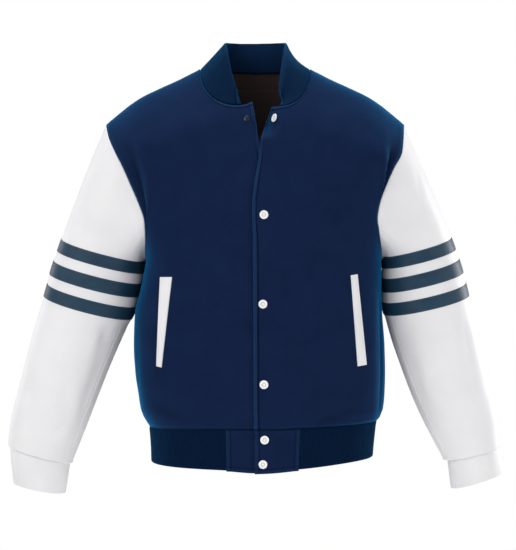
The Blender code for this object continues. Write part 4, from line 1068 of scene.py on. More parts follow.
def body_normals(place, height, face, lap):
    """Outward normals of the body form, from its slopes just below the shoulder seam and away from its sides."""
    reach = 0.0002
    x = body_point(place, height, face, lap)[..., 0]
    seam = SHOULDER[face]
    height = np.minimum(height, read(seam, 1, np.abs(x)) - 6 * reach)
    side = body_point(np.clip(place + reach, -1, 1), height, face, lap)
    other = body_point(np.clip(place - reach, -1, 1), height, face, lap)
    above = body_point(place, height + reach, face, lap)
    below = body_point(place, height - reach, face, lap)
    return unit(np.cross(side - other, above - below))


def panel(patch, u, face, lap):
    """A panel's fine grid."""
    grid, up = even_rows(patch, u, face, lap, EDGE_SPOTS)
    place, height = grid[..., 0], grid[..., 1]
    return Cloth(body_point(place, height, face, lap), BODY_MIDDLE,
                 normals=body_normals(place, height, face, lap), low=up)


def away_from_tips(points):
    """0 at the tips of the shoulders, where the wool keeps a sharp corner, 1 away from them."""
    share = np.ones(points.shape[:2])
    for side in (-1, 1):
        _, height, x = shoulder_tip(side)
        tip = np.array((side * x, SEAM_DEPTH, height))
        share = share * (1 - bell(np.linalg.norm(points - tip, axis=-1), 0.0, TIP_SOFT))
    return share


def panel_columns(width, first, corners, step=PANEL_STEP):
    """Shares across a panel: close together at its edges, with a column at each corner."""
    u = stations(width, step, first, EDGE_SPOTS) / width
    for corner in corners:
        u[np.argmin(np.abs(u - corner))] = corner
    return u


def panel_top(piece, neck):
    """Relief, and painted light and shade, beside a panel's upper border, which is neckline where neck is true and
    shoulder elsewhere.
    """
    relief = np.where(neck, bells(piece.high, NECK_RELIEF) - rolled(piece.high, EDGE_ROLL),
                      seam_relief(piece.high, 0.0006, 0.0004))
    return relief, bells(piece.high, NECK_PAINTED_SHADING)


def add_panel(node, piece, creases, relief, painted_shading, looks):
    """A panel's wall of wool, and the grid of its outside.

    Creases go through the cloth, relief is the outside's alone.
    """
    outside = piece.moved(creases + relief)
    cloth = add_shell(f"{node}_wool", node, "navy_wool", outside.points, piece.lifted(creases - WOOL_WALL),
                      [looks["wool"], looks["lining"]], flat=piece.flat, painted_shading=painted_shading)
    return cloth, outside


def make_front(side, looks):
    """A front with its folded edge, seams and topstitching."""
    word = WORD[side]
    u = panel_columns(FRONT_WIDTH, STRIP_SPOTS, [NECK_SHARE])
    piece = panel(lambda a, b: front_patch(side, a, b), u, -1, side > 0)
    height = piece.points[..., 2]
    neck = (u <= NECK_SHARE)[None, :]
    top, neck_painted_shading = panel_top(piece, neck)
    away = away_from_tips(piece.points)
    relief = (strip_relief(piece.first, height) + (seam_relief(piece.last) + top) * away
              + seam_relief(piece.low, 0.0010, 0.0010))
    small = -trough(CREASES[-1], piece.points[..., 0], height, 0.1)
    furrow, furrow_painted_shading = armhole_furrow(piece.last, height, side)
    # painted shade in creases, seams, the armhole furrow and along the shoulder's edge, painted light on ridges and
    # on the front edge's strip
    painted_shading = (CREASE_PAINTED_SHADING * small + strip_painted_shading(piece.first, height)
           + np.where(neck, neck_painted_shading, -bell(piece.high, 0.0, 0.0016))
           + (bells(piece.last, SEAM_PAINTED_SHADING) + furrow_painted_shading) * away + bells(piece.low, SEAM_PAINTED_SHADING))
    cloth, outside = add_panel(f"front_{word}", piece, small + furrow, relief, painted_shading, looks)
    corner = int(np.argmin(np.abs(u - NECK_SHARE)))
    lines = [outside.line(STRIP_WIDTH, 1), outside.line(-NECK_STITCH_AT, 0, columns=slice(6, corner + 1))]
    add_stitches(f"front_{word}_stitches", lines, looks["navy_thread"], "navy_wool")


def make_back(looks):
    """The back, one piece."""
    u = panel_columns(BACK_WIDTH, EDGE_SPOTS, BACK_NECK_SHARE, BACK_STEP)
    piece = panel(back_patch, u, 1, False)
    height = piece.points[..., 2]
    start, end = BACK_NECK_SHARE
    neck = ((u >= start) & (u <= end))[None, :]
    top, neck_painted_shading = panel_top(piece, neck)
    sides = (piece.first, piece.last)
    relief = ((sum(seam_relief(side) for side in sides) + top) * away_from_tips(piece.points)
              + seam_relief(piece.low, 0.0010, 0.0010))
    small = -trough(CREASES[1], piece.points[..., 0], height, 0.1)
    creases = small
    # painted shade in creases, seams and the armhole furrows, painted light on ridges
    painted_shading = CREASE_PAINTED_SHADING * small + np.where(neck, neck_painted_shading, bells(piece.high, SEAM_PAINTED_SHADING)) + bells(piece.low, SEAM_PAINTED_SHADING)
    for side in sides:
        furrow, furrow_painted_shading = armhole_furrow(side, height, -1)
        creases = creases + furrow
        painted_shading = painted_shading + bells(side, SEAM_PAINTED_SHADING) + furrow_painted_shading
    cloth, outside = add_panel("back", piece, creases, relief, painted_shading, looks)
    inner = slice(int(np.argmin(np.abs(u - start))), int(np.argmin(np.abs(u - end))) + 1)
    add_stitches("back_stitches", [outside.line(-NECK_STITCH_AT, 0, columns=inner)], looks["navy_thread"],
                 "navy_wool")


def make_lining(looks):
    """Lining inside the upper back, sewn in at the collar."""
    u = np.linspace(0.06, 0.94, 84)
    v = np.concatenate((np.linspace(0.42, 0.97, 42), (0.98, 0.988, 0.994, 0.998, 1.0)))
    grid = back_patch(u, v)
    points = body_point(grid[..., 0], grid[..., 1], 1)
    normals = facing(body_normals(grid[..., 0], grid[..., 1], 1, False), points, BODY_MIDDLE)
    taper = ease(v, 0.975, 1.0)[:, None, None]
    outside = points - normals * (WOOL_WALL + LINING_GAP * (1 - 0.3 * taper))
    inside = outside - normals * LINING_WALL * (1 - 0.7 * taper)
    piece = add_shell("back_lining", "lining_back", "brown_lining", outside, inside, [looks["lining"]] * 2)


# ---------------------------------------------------------------- rib knit
WAIST_RIBS = (0.0038, 0.0012)  # pitch and depth of the waistband's ribs
COLLAR_RIBS = (0.0027, 0.0004)
RIB_POINTS = 6             # points across one rib


def rib_piece(rows, ribs, middle, low, high):
    """A rib piece's grid, and the relief of its ribs and edges, from rows of its smooth outside."""
    pitch, depth = ribs
    count = int(round(reach_along(rows, 1)[len(rows) // 2, -1] / pitch))
    across = np.linspace(0, 1, count * RIB_POINTS + 1)
    piece = Cloth(np.stack([through(row, across * (rows.shape[1] - 1)) for row in rows]), middle)
    phase = np.abs(((across * count) % 1.0) * 2 - 1)
    relief = depth * (np.sqrt(np.clip(1 - phase ** 2.4, 0, 1)) - 1)[None, :]
    relief = relief * ease(piece.low, 0.0, 0.004) * ease(piece.high, 0.0, 0.003)
    return piece, relief - rolled(piece.low, low) - rolled(piece.high, high)


def body_strip(places, faces, shares, lap=False, hem_drop=0.0):
    """Rows of body points between the hem and the waist seam."""
    front = np.array(faces) < 0
    x = np.where(front, *(body_point(places, WAIST_MIDDLE, face, gap=0.0)[:, 0] for face in (-1, 1)))
    low = np.where(front, read(HEM[-1], 1, x), read(HEM[1], 1, x)) - hem_drop
    high = read(WAIST_SEAM, 1, x)
    rows = []
    for height in (low * (1 - share) + high * share for share in shares):
        ahead, behind = (body_point(places, height, face, lap, gap=0.0) for face in (-1, 1))
        rows.append(np.where(front[:, None], ahead, behind))
    return np.array(rows)


BAND_SHARES = (0.0, 0.006, 0.014, 0.028, 0.055, 0.12, 0.24, 0.39, 0.54, 0.69, 0.82, 0.90, 0.95, 0.98, 0.993, 1.0)
RIB_TUCK = 0.0050          # the waistband's ends run this far under the tabs
RIB_TUCK_DROP = 0.0037
RIB_RISE = 0.0034          # the waistband's top runs this far up behind the wool
RIB_RISE_DROP = 0.0033


def make_waist_rib(looks):
    """Rib waistband from under the right tab round the back to under the left tab."""
    start = float(place_at(TAB_RIGHT_END + RIB_TUCK, BAND_MIDDLE))
    end = float(place_at(TAB_LEFT_END - RIB_TUCK, BAND_MIDDLE))
    places = np.concatenate((np.linspace(start, -1, 61)[:-1], np.linspace(-1, 1, 181), np.linspace(1, end, 51)[1:]))
    rows = body_strip(places, [-1] * 60 + [1] * 181 + [-1] * 50, BAND_SHARES)
    above = rows[-1] + (0.0, 0.0, 1.0) * np.array((0.0002, RIB_RISE))[:, None, None]
    rows = np.stack([even_spacing(row, 320) for row in np.concatenate((rows, above))])
    piece, relief = rib_piece(rows, WAIST_RIBS, BAND_CENTRE, 0.0024, 0.0)
    ends = [ease(edge, RIB_TUCK - 0.0012, RIB_TUCK + 0.0006) for edge in (piece.first, piece.last)]
    tucked = (RIB_TUCK_DROP * (2 - sum(ends))
              + RIB_RISE_DROP * (1 - ease(piece.high, RIB_RISE - 0.0002, RIB_RISE + 0.0001)))
    below = np.maximum(piece.high - RIB_RISE, 0.0)
    relief = relief - rolled(below, 0.0016) - 0.0012 * bell(below, 0.0, 0.0030)
    knit = add_shell("waist_rib_knit", "waist_rib", "navy_rib", piece.lifted(relief - tucked),
                     piece.lifted(-RIB_WALL - np.minimum(tucked, 0.0040)), [looks["rib"]] * 2, flat=piece.flat)


def even_spacing(points, count):
    """The same line with its points at even distances."""
    reach = reach_along(points)
    return read_at(np.linspace(0, reach[-1], count), reach, points)


TAB_HEIGHT = 0.071
TAB_STEP = 0.0022
TAB_DROP = {-1: 0.0014, 1: 0.0022}  # the tabs' hems hang this much lower than the rib's
TAB_ENDS = {-1: (TAB_RIGHT_END, UNDER_EDGE), 1: (EDGE[1][0][1], TAB_LEFT_END)}


def make_tab(side, looks):
    """Wool tab at the front of the waistband, topstitched all round."""
    word = WORD[side]
    start, end = TAB_ENDS[side]
    width = end - start
    x = start + stations(width, TAB_STEP, STRIP_SPOTS, STRIP_SPOTS)
    shares = stations(TAB_HEIGHT, TAB_STEP, STRIP_SPOTS, EDGE_SPOTS) / TAB_HEIGHT
    rows = body_strip(place_at(x, BAND_MIDDLE), [-1] * len(x), shares, side > 0, TAB_DROP[side])
    piece = Cloth(rows, BAND_CENTRE)
    relief = (0.6 * sum(strip_relief(edge) for edge in (piece.first, piece.last, piece.low))
              + seam_relief(piece.high, 0.0008, 0.0))
    # painted light on the tab's folded edges, painted shade in its stitch grooves and along its seam
    painted_shading = (0.45 * (strip_painted_shading(piece.first) + 0.8 * strip_painted_shading(piece.last) + 0.6 * strip_painted_shading(piece.low))
           + bells(piece.high, SEAM_PAINTED_SHADING))
    outside = piece.moved(relief)
    cloth = add_shell(f"tab_{word}_wool", f"waist_tab_{word}", "navy_wool", outside.points,
                      piece.lifted(-WOOL_WALL), [looks["wool"], looks["lining"]], flat=piece.flat, painted_shading=painted_shading)
    lines = [outside.line(*spot) for spot in ((STRIP_WIDTH, 1), (-STRIP_WIDTH, 1), (STRIP_WIDTH, 0))]
    add_stitches(f"tab_{word}_stitches", lines, looks["navy_thread"], "navy_wool")


COLLAR_SHARES = (0.0, 0.008, 0.02, 0.04, 0.07, 0.12, 0.18, 0.25, 0.32, 0.39, 0.46, 0.53, 0.60, 0.67, 0.74, 0.80,
                 0.86, 0.91, 0.945, 0.97, 0.985, 0.994, 1.0)
COLLAR_FOLD = 0.0078       # from the collar's front edge to the furrow beside its fold
COLLAR_INSIDE_PAINTED_LIGHT = 0.5    # painted light on the collar's inner layer
COLLAR_END_WALL = 0.0016   # the collar's wall at its tapered front edges
COLLAR_TUCK = 0.0034       # the collar runs this far down behind the wool
COLLAR_TUCK_DROP = 0.0031
COLLAR_TUCK_WALL = 0.0002


def collar_seam():
    """Seam of the collar from the right front's corner round the back to the left front's."""
    ends = {}
    for side, neck in NECK.items():
        flat = to_places(through(neck, np.linspace(1 / 6, 1, 61) * (len(neck) - 1)))
        ends[side] = body_point(*flat.T, -1, side > 0)
    behind = body_point(*back_neck(np.linspace(-1, 1, 81)).T, 1)
    return np.concatenate((ends[-1], behind[1:-1], ends[1][::-1]))


# where the points of the collar's top edge stand over the 201 points of its seam
COLLAR_MARKS = (0, 12, 24, 36, 48, 60, 60 + 80 / 6, 60 + 160 / 6, 100, 100 + 80 / 6, 100 + 160 / 6, 140, 152, 164,
                176, 188, 200)


def make_collar(looks):
    """Stand collar of rib knit, with tapered, folded ends."""
    seam = collar_seam()
    top_marks = np.concatenate((COLLAR_TOP[-1], COLLAR_TOP[1][-2::-1]))
    at = np.interp(np.arange(len(seam)), COLLAR_MARKS, np.arange(len(top_marks)))
    top = through(top_marks, at)
    rise = unit(top - seam)
    away = facing(unit(np.cross(unit(np.gradient(seam, axis=0)), rise)), seam, seam.mean(axis=0))
    bow = away * read(COLLAR_HOLLOW, 1, at / (len(top_marks) - 1))[:, None]
    rows = [seam - rise * COLLAR_TUCK, seam - rise * 0.0002]
    rows += [seam * (1 - t) + top * t - bow * math.sin(math.pi * t) for t in COLLAR_SHARES]
    rows = np.stack([even_spacing(row, 240) for row in rows])
    piece, relief = rib_piece(rows, COLLAR_RIBS, rows.mean(axis=(0, 1)), 0.0, 0.0022)
    nearest = np.minimum(piece.first, piece.last)
    fold = bells(nearest, ((0.0007, 0.45 * COLLAR_FOLD, 0.0026), (-0.0011, COLLAR_FOLD, 0.0012)))
    seam_up = np.maximum(piece.low - COLLAR_TUCK, 0.0)
    tucked = 1 - ease(piece.low, COLLAR_TUCK - 0.0003, COLLAR_TUCK)
    relief = (relief + fold - rolled(nearest, 0.0016) - 0.0008 * bell(seam_up, 0.0, 0.0016)
              - rolled(seam_up, 0.0010) - tucked * COLLAR_TUCK_DROP)
    wall = (COLLAR_END_WALL + (RIB_WALL - COLLAR_END_WALL) * ease(nearest, 0.0, 0.009)
            + tucked * COLLAR_TUCK_WALL)
    turned_edge_painted_light = (ease(piece.points[..., 0], 0.030, 0.042) * (1 - ease(piece.points[..., 1], -0.020, 0.010))
                   * (1 - ease(piece.high, 0.0065, 0.0105)))
    # an even lift of the collar's colour, painted light on its folded front strips and on the top edge near its
    # left front end, painted shade in the fold furrows and along its seam
    painted_shading = (0.12 + 0.40 * (1 - ease(nearest, 0.0050, 0.0076)) - 0.7 * bell(nearest, COLLAR_FOLD, 0.0012)
           - 1.0 * bell(seam_up, 0.0, 0.0019) + 0.45 * turned_edge_painted_light)
    knit = add_shell("collar_knit", "collar", "navy_rib", piece.lifted(relief), piece.lifted(-wall),
                     [looks["rib"]] * 2, flat=piece.flat, painted_shading=painted_shading, painted_shading_inside=COLLAR_INSIDE_PAINTED_LIGHT)


# ---------------------------------------------------------------- welts
LEATHER_STITCH = 0.0026    # from the edge of a leather piece to its stitching
WELT_ROLL = 0.0016
WELT_WIDTH = 0.015         # about, for the spacing of the points
WELT_LENGTH = 0.152
WELT_SPOTS = (0.0, 0.0002, 0.0005, 0.0009, 0.0014, 0.0020, 0.0027, 0.0034)


def make_welt(side, looks):
    """White leather pocket welt, folded and topstitched round its edge."""
    word = WORD[side]
    corners = np.array(WELT[side])
    u = (stations(WELT_WIDTH, 0.0012, WELT_SPOTS, WELT_SPOTS) / WELT_WIDTH)[None, :, None]
    v = (stations(WELT_LENGTH, 0.0020, WELT_SPOTS, WELT_SPOTS) / WELT_LENGTH)[:, None, None]
    upper = corners[0] * (1 - u) + corners[1] * u
    lower = corners[3] * (1 - u) + corners[2] * u
    flat = lower * (1 - v) + upper * v
    piece = Cloth(body_point(place_at(flat[..., 0], flat[..., 1]), flat[..., 1], -1, side > 0), BODY_MIDDLE)
    nearest = np.min((piece.first, piece.last, piece.low, piece.high), axis=0)
    relief = (0.0003 * ease(nearest, 0.003, 0.006) - 0.0004 * bell(nearest, 0.0024, 0.0006)
              - rolled(nearest, WELT_ROLL))
    outside = piece.moved(LAY_GAP + WELT_WALL + relief)
    leather = add_shell(f"welt_{word}_leather", f"welt_{word}", "white_leather", outside.points,
                        piece.lifted(LAY_GAP * 0.5), [looks["leather"]] * 2)
    lines = [outside.line(way * LEATHER_STITCH, 1, rows=slice(4, -4)) for way in (1, -1)]
    add_stitches(f"welt_{word}_stitches", lines, looks["white_thread"], "white_leather", WELT_STITCH)


# ---------------------------------------------------------------- sleeves
def ring(row, angles):
    """Points round one row of a sleeve's or cuff's table. Angle 0 is the outer side, pi / 2 the front."""
    outer_x, outer_z, inner_x, inner_z, y, half_depth, drop = row
    middle = np.array(((outer_x + inner_x) / 2, y, (outer_z + inner_z) / 2))
    across = np.array((outer_x - inner_x, 0.0, outer_z - inner_z)) / 2
    forward = np.array((0.0, -half_depth, -drop))
    cosine = np.cos(angles)
    sine = np.sin(angles)
    out = np.sign(cosine) * np.abs(cosine) ** (2 / SLEEVE_POWER)
    front = np.sign(sine) * np.abs(sine) ** (2 / SLEEVE_POWER)
    return middle + out[:, None] * across + front[:, None] * forward


def arm_ring(table, place, angles):
    """Points round a sleeve or cuff at a place counted in rows of its table."""
    return ring(through(table, [place])[0], angles)


def cap_directions(side, angles):
    """Direction in which the sleeve leaves the armhole, round the armhole."""
    share = ((1 - np.cos(2 * angles)) / 2)[:, None]
    pole = np.where((np.cos(angles) > 0)[:, None], CAP_TOP, CAP_UNDER)
    middle = np.where((np.sin(angles) > 0)[:, None], CAP_FRONT, CAP_BACK)
    return unit((pole * (1 - share) + middle * share) * (side, 1.0, 1.0))


def sleeve_row(sleeve, place):
    """Ring of a sleeve. Places from 0 up count its table's rows; below 0 they run back over the cap."""
    if place >= 0:
        return arm_ring(sleeve["table"], place, sleeve["angles"])
    return cap_ring(sleeve, np.clip(1 + place * ROW_LENGTH / sleeve["reach"], CAP_LEAST, 1.0))


def cap_ring(sleeve, t):
    """Ring of the cap at a share t of the way from the armhole to the table's first row."""
    reach = sleeve["reach"]
    start = sleeve["loop"] * (1 + 2 * t) * (1 - t) ** 2 + sleeve["directions"] * reach * t * (1 - t) ** 2
    return start + sleeve["first"] * t * t * (3 - 2 * t) - sleeve["leave"] * reach * t * t * (1 - t)


def sleeve_form(side, angles):
    """What the rings of one sleeve are worked out from, at angles round it."""
    table = SLEEVE[side]
    directions = cap_directions(side, angles)
    loop = armhole_loop(side, angles) + directions * SEAM_GAP
    first = ring(table[0], angles)
    return {"loop": loop, "directions": directions, "table": table, "angles": angles, "first": first,
            "leave": unit(arm_ring(table, CAP_LEAVE_ROW, angles) - first),
            "reach": np.linalg.norm(first - loop, axis=1, keepdims=True)}


def armhole_loop(side, angles):
    """Points of the armhole: over the shoulder at angle 0, in front at pi / 2, under the arm at pi."""
    turn = angles % (2 * math.pi) / math.pi
    ahead, behind = (body_point(*armhole_line(side, face, np.clip(face * (turn - 1), 0, 1)).T, face)
                     for face in (-1, 1))
    return np.where((turn <= 1)[:, None], ahead, behind)


# soft folds of the sleeves: half width, depth (negative for a ridge), path of angle and station
SLEEVE_FOLDS = {
    -1: (
        (0.0100, 0.0013, ((2.21, 2.45), (2.27, 3.14), (2.38, 3.80), (2.42, 4.78), (2.50, 5.50), (2.56, 6.30))),
        (0.0110, -0.0012, ((2.90, 2.90), (2.80, 3.80), (2.72, 4.80), (2.80, 5.60))),
        (0.0095, 0.0015, ((2.05, 2.50), (2.22, 2.85), (2.46, 3.00))),
        (0.0070, -0.0014, ((1.98, 2.75), (2.14, 3.05))),
        (0.0090, 0.0016, ((1.66, 4.50), (1.84, 4.95), (2.06, 5.15))),
        (0.0100, 0.0018, ((2.10, 5.60), (1.90, 6.05), (1.50, 6.45))),
        (0.0120, 0.0014, ((0.55, -2.10), (0.95, -1.30), (1.10, -0.55))),
        (0.0130, 0.0020, ((2.70, -1.20), (2.10, -1.90), (1.60, -2.70))),
        (0.0110, 0.0014, ((0.70, 4.60), (1.05, 5.30), (1.20, 6.10))),
        (0.0140, 0.0030, ((3.90, -1.00), (4.30, -1.60), (4.75, -2.40))),
        (0.0140, 0.0034, ((3.95, 2.70), (4.35, 3.50), (4.75, 4.10))),
        (0.0110, -0.0018, ((4.30, 2.60), (4.80, 3.20))),
        (0.0120, 0.0026, ((3.70, 4.20), (4.10, 4.90), (4.80, 5.20))),
        (0.0110, 0.0022, ((5.50, 5.10), (4.90, 5.90), (4.20, 6.30))),
    ),
    1: (
        (0.0110, 0.0009, ((2.25, 2.50), (2.30, 3.40), (2.42, 4.40), (2.50, 5.40))),
        (0.0110, -0.0010, ((2.90, 3.00), (2.80, 4.00), (2.75, 5.00))),
        (0.0060, 0.0013, ((0.66, -3.55), (0.84, -3.00), (1.00, -2.35))),
        (0.0070, 0.0010, ((1.10, -2.70), (1.22, -2.00))),
        (0.0090, 0.0013, ((0.80, 2.80), (0.92, 3.60), (1.02, 4.40))),
        (0.0100, 0.0015, ((2.05, 4.70), (1.70, 5.30), (1.35, 5.60))),
        (0.0100, 0.0016, ((1.95, 5.90), (1.50, 6.35), (1.05, 6.45))),
        (0.0130, 0.0020, ((2.70, -1.20), (2.10, -2.00), (1.70, -2.80))),
        (0.0140, 0.0028, ((3.90, -1.10), (4.35, -1.80), (4.85, -2.30))),
        (0.0140, 0.0032, ((4.00, 2.80), (4.40, 3.70), (4.75, 4.50))),
        (0.0110, -0.0016, ((4.20, 2.70), (4.70, 3.50))),
        (0.0120, 0.0022, ((5.40, 4.90), (4.80, 5.70), (4.30, 6.20))),
        (0.0110, 0.0018, ((3.60, 4.60), (4.00, 5.20), (4.50, 5.10))),
    ),
}
# how far a sleeve's inner side bears in on the body: station, depth
SLEEVE_CONTACT = {
    -1: ((-0.8, 0.0), (0.0, 0.0014), (0.45, 0.0024), (1.0, 0.0016), (1.45, 0.0022), (1.8, 0.0010), (2.0, 0.0022),
         (2.45, 0.0)),
    1: ((-0.8, 0.0), (0.0, 0.0016), (0.45, 0.0025), (1.0, 0.0016), (1.45, 0.0025), (2.0, 0.0016), (2.4, 0.0)),
}
CONTACT_ANGLE = 0.45
SLEEVE_SEAMS = (7 * math.pi / 10, 14 * math.pi / 10)  # angles of a sleeve's front and back seam
PLAIN_GAP = 0.00002        # at the front seam, which lies flat and close
ROUND_LENGTH = 0.070       # metres of leather to one radian round a sleeve
UNDER_SEAM = 2.60          # angle of the topstitched seam on the front of the under sleeve
UNDER_SEAM_TOP = 2.35      # station at which it comes out from under the last band
UNDER_SEAM_SPOTS = (0.0004, 0.0009, 0.0015, 0.0022, 0.0030, 0.0042, 0.0060)  # of columns beside it
UNDER_STITCH = 0.0026      # of its two rows of stitches from the seam


def sleeve_folds(side, angle, station):
    """Height of the folds at points of a sleeve."""
    angle, station = np.broadcast_arrays(angle % (2 * math.pi), station)
    folds = [(half, deep, np.array(path) * (ROUND_LENGTH, ROW_LENGTH)) for half, deep, path in SLEEVE_FOLDS[side]]
    return (read(SLEEVE_CONTACT[side], 1, station) * bell(angle, math.pi, CONTACT_ANGLE)
            - trough(folds, angle * ROUND_LENGTH, station * ROW_LENGTH, 0.08, 0.3))


def band_distance(station):
    """Distance along a sleeve from the nearest band's edge, negative under a band."""
    gaps = [np.abs(station - middle) - half for middle, half in BANDS]
    return np.min(gaps, axis=0) * ROW_LENGTH


LEATHER_EDGE = (0.0, 0.0003, 0.0007, 0.0012, 0.0018, 0.0026, 0.0036, 0.0048, 0.0064, 0.0085)
LEATHER_ROLL = 0.0009
LEATHER_RELIEF = (
    (0.0005, 0.0034, 0.0018),
    (-0.0007, 0.0, 0.0016),
)
UNDER_RELIEF = (
    (0.0005, 0.0034, 0.0020), (-0.0007, 0.0, 0.0006), (-0.0003, UNDER_STITCH, 0.0006),
)
ANGLE_STEP = 0.055
CAP_SHARES = (0.0, 0.0025, 0.006, 0.010, 0.016, 0.024, 0.034, 0.047, 0.063)
HEM_STEPS = 12


def leather_seam(distance):
    """Height of the leather beside a sewn seam."""
    return bells(distance, LEATHER_RELIEF) - rolled(distance, LEATHER_ROLL)


def under_seam(angles, station):
    """Height of the leather beside the under sleeve's topstitched seam."""
    away = np.abs(angles - UNDER_SEAM)[None, :] * ROUND_LENGTH
    return bells(away, UNDER_RELIEF) * ease(station, UNDER_SEAM_TOP, UNDER_SEAM_TOP + 0.25)


def line_round(cloth, angles, angle):
    """Path down a sleeve's grid at an angle round it, with its normals."""
    after = int(np.searchsorted(angles, angle))
    share = (angle - angles[after - 1]) / (angles[after] - angles[after - 1])
    grids = (cloth.points, cloth.normals)
    path, out = (grid[:, after - 1] * (1 - share) + grid[:, after] * share for grid in grids)
    return path, unit(out)


def sleeve_part(side, start, end):
    """Angles of a sleeve's columns between two of its seams, its outside there and each point's station."""
    edge = np.array(LEATHER_EDGE) / ROUND_LENGTH
    angles = start + stations(end - start, ANGLE_STEP, edge, edge)
    angles[[0, -1]] += np.array((PLAIN_GAP, -PLAIN_GAP)) / ROUND_LENGTH
    if start < UNDER_SEAM < end:
        beside = np.array(UNDER_SEAM_SPOTS) / ROUND_LENGTH
        spots = UNDER_SEAM + np.concatenate((-beside[::-1], [0.0], beside))
        clear = (angles < spots[0] - 0.01) | (angles > spots[-1] + 0.01)
        angles = np.sort(np.concatenate((angles[clear], spots)))
    form = sleeve_form(side, angles)
    shares = np.concatenate((CAP_SHARES, np.linspace(0.085, 1.0, 60)[:-1]))
    last = len(form["table"]) - 1
    places = np.linspace(0, last, 130)
    steps = np.linspace(0, 1, HEM_STEPS)[1:]
    rings = [cap_ring(form, t) for t in shares] + [arm_ring(form["table"], place, angles) for place in places]
    hem = ring(CUFF[side][0], angles) + (0.0, 0.0, SEAM_GAP)
    final = rings[-1]
    for step in steps:
        gather = 1 - math.cos(step * math.pi / 2)
        sag = 0.0045 * math.sin(step * math.pi) ** 0.8 * (1 - 0.5 * step)
        rings.append(final * (1 - gather) + hem * gather - (0.0, 0.0, sag))
    cap = (shares[:, None] - 1) * form["reach"][:, 0] / ROW_LENGTH
    below = np.concatenate((places, last + steps * 0.1))[:, None] * np.ones(len(angles))
    return angles, Cloth(np.array(rings), form_middles(rings, form)), np.concatenate((cap, below))


def form_middles(rings, form):
    """A point inside the sleeve for each ring, to turn the normals away from."""
    table = np.array(form["table"])[::-1]
    centre = (table[:, (0, 4, 1)] + table[:, (2, 4, 3)]) / 2
    level = [np.mean(points[:, 2]) for points in rings]
    return np.column_stack((read_at(level, centre[:, 2], centre[:, :2]), level))[:, None, :]


# the parts of a sleeve: name, angles of the first and last seam, flat width and area
SLEEVE_PARTS = (
    ("upper", SLEEVE_SEAMS[1], SLEEVE_SEAMS[0] + 2 * math.pi, 0.31, 0.158),
    ("under", *SLEEVE_SEAMS, 0.15, 0.062),
)


def make_sleeve(side, looks):
    """A leather sleeve in two parts, its three bands and their stitching."""
    word = WORD[side]
    lines = []
    for part, start, end, width, area in SLEEVE_PARTS:
        angles, piece, station = sleeve_part(side, start, end)
        folds = sleeve_folds(side, angles[None, :], station)
        folds = folds * ease(piece.low, 0.006, 0.034) * ease(len(SLEEVE[side]) - 1 - station, 0.0, 0.45)
        beside = band_distance(station)
        relief = (leather_seam(piece.first if part == "upper" else piece.last) * ease(beside, -0.0004, 0.0004)
                  + 0.0004 * bell(piece.low, 0.0030, 0.0015) + 0.0006 * bell(beside, 0.0014, 0.0011)
                  - rolled(piece.low, 0.0007))
        if part == "under":
            relief = relief + under_seam(angles, station)
        outside = piece.moved(folds + relief)
        flat = np.stack((angles * ROUND_LENGTH * np.ones(station.shape), piece.low), axis=-1)
        name = f"sleeve_{part}_{word}"
        leather = add_shell(f"{name}_leather", name, "white_leather", outside.points,
                            piece.lifted(folds - LEATHER_WALL), [looks["leather"], looks["lining"]], flat=flat)
        if part == "upper":
            lines.append(outside.line(LEATHER_STITCH, 1))
        else:
            lines += [line_round(outside, angles, UNDER_SEAM + way * UNDER_STITCH / ROUND_LENGTH)
                      for way in (-1, 1)]
    add_stitches(f"sleeve_{word}_stitches", [below_bands(side, *line) for line in lines], looks["white_thread"],
                 "white_leather", SLEEVE_STITCH)
    for number, (middle, half_rows) in enumerate(BANDS, start=1):
        make_band(side, number, middle, half_rows, looks)


def below_bands(side, path, out):
    """The part of a stitch line that lies below the last band."""
    row = through(SLEEVE[side], [sum(BANDS[-1])])[0]
    below = path[:, 2] < (row[1] + row[3]) / 2 - 0.012
    return path[below], out[below]


BAND_STITCH_AT = 0.0021    # from a band's edge to its stitching


def make_band(side, number, middle, half, looks):
    """A glossy band laid round the sleeve and stitched down along both edges."""
    word = WORD[side]
    angles = np.linspace(0, 2 * math.pi, 136, endpoint=False)
    form = sleeve_form(side, angles)
    edge = np.array((0.0, 0.008, 0.022, 0.045, 0.08, 0.13))
    places = middle - half + 2 * half * np.concatenate((edge, np.linspace(0.19, 0.81, 8), 1 - edge[::-1]))
    rings = np.array([sleeve_row(form, place) for place in places])
    piece = Cloth(rings, rings.mean(axis=1, keepdims=True), closed=True)
    folds = sleeve_folds(side, angles[None, :], places[:, None])
    nearest = np.minimum(piece.low, piece.high)
    lift = BAND_WALL + LAY_GAP - rolled(nearest, 0.0009) - 0.00025 * bell(nearest, 0.0020, 0.0005)
    outside = piece.moved(folds + lift)
    band = add_shell(f"band_{word}_{number}_leather", f"band_{word}_{number}", "dark_leather", outside.points,
                     piece.lifted(folds + LAY_GAP * 0.3), [looks["band"]] * 2, closed=True)
    paths = [outside.line(way * BAND_STITCH_AT, 0) for way in (1, -1)]
    lines = [[np.concatenate((grid, grid[:1])) for grid in line] for line in paths]
    add_stitches(f"band_{word}_{number}_stitches", lines, looks["band_thread"], "dark_leather", BAND_STITCH)


# ---------------------------------------------------------------- cuffs
CUFF_RADIUS = 0.045        # for the angles of its columns
CUFF_DEPTH = 0.062
CUFF_END_SPOTS = (0.0, 0.0003, 0.0007, 0.0012, 0.0019, 0.0028, 0.0040)
CUFF_EDGE_SPOTS = (0.0, 0.0003, 0.0008, 0.0014, 0.0022, 0.0032, 0.0045)
CUFF_ROLL = 0.0012
CUFF_STITCH_AT = 0.0045    # topstitching along the cuff's outer end and lower edge


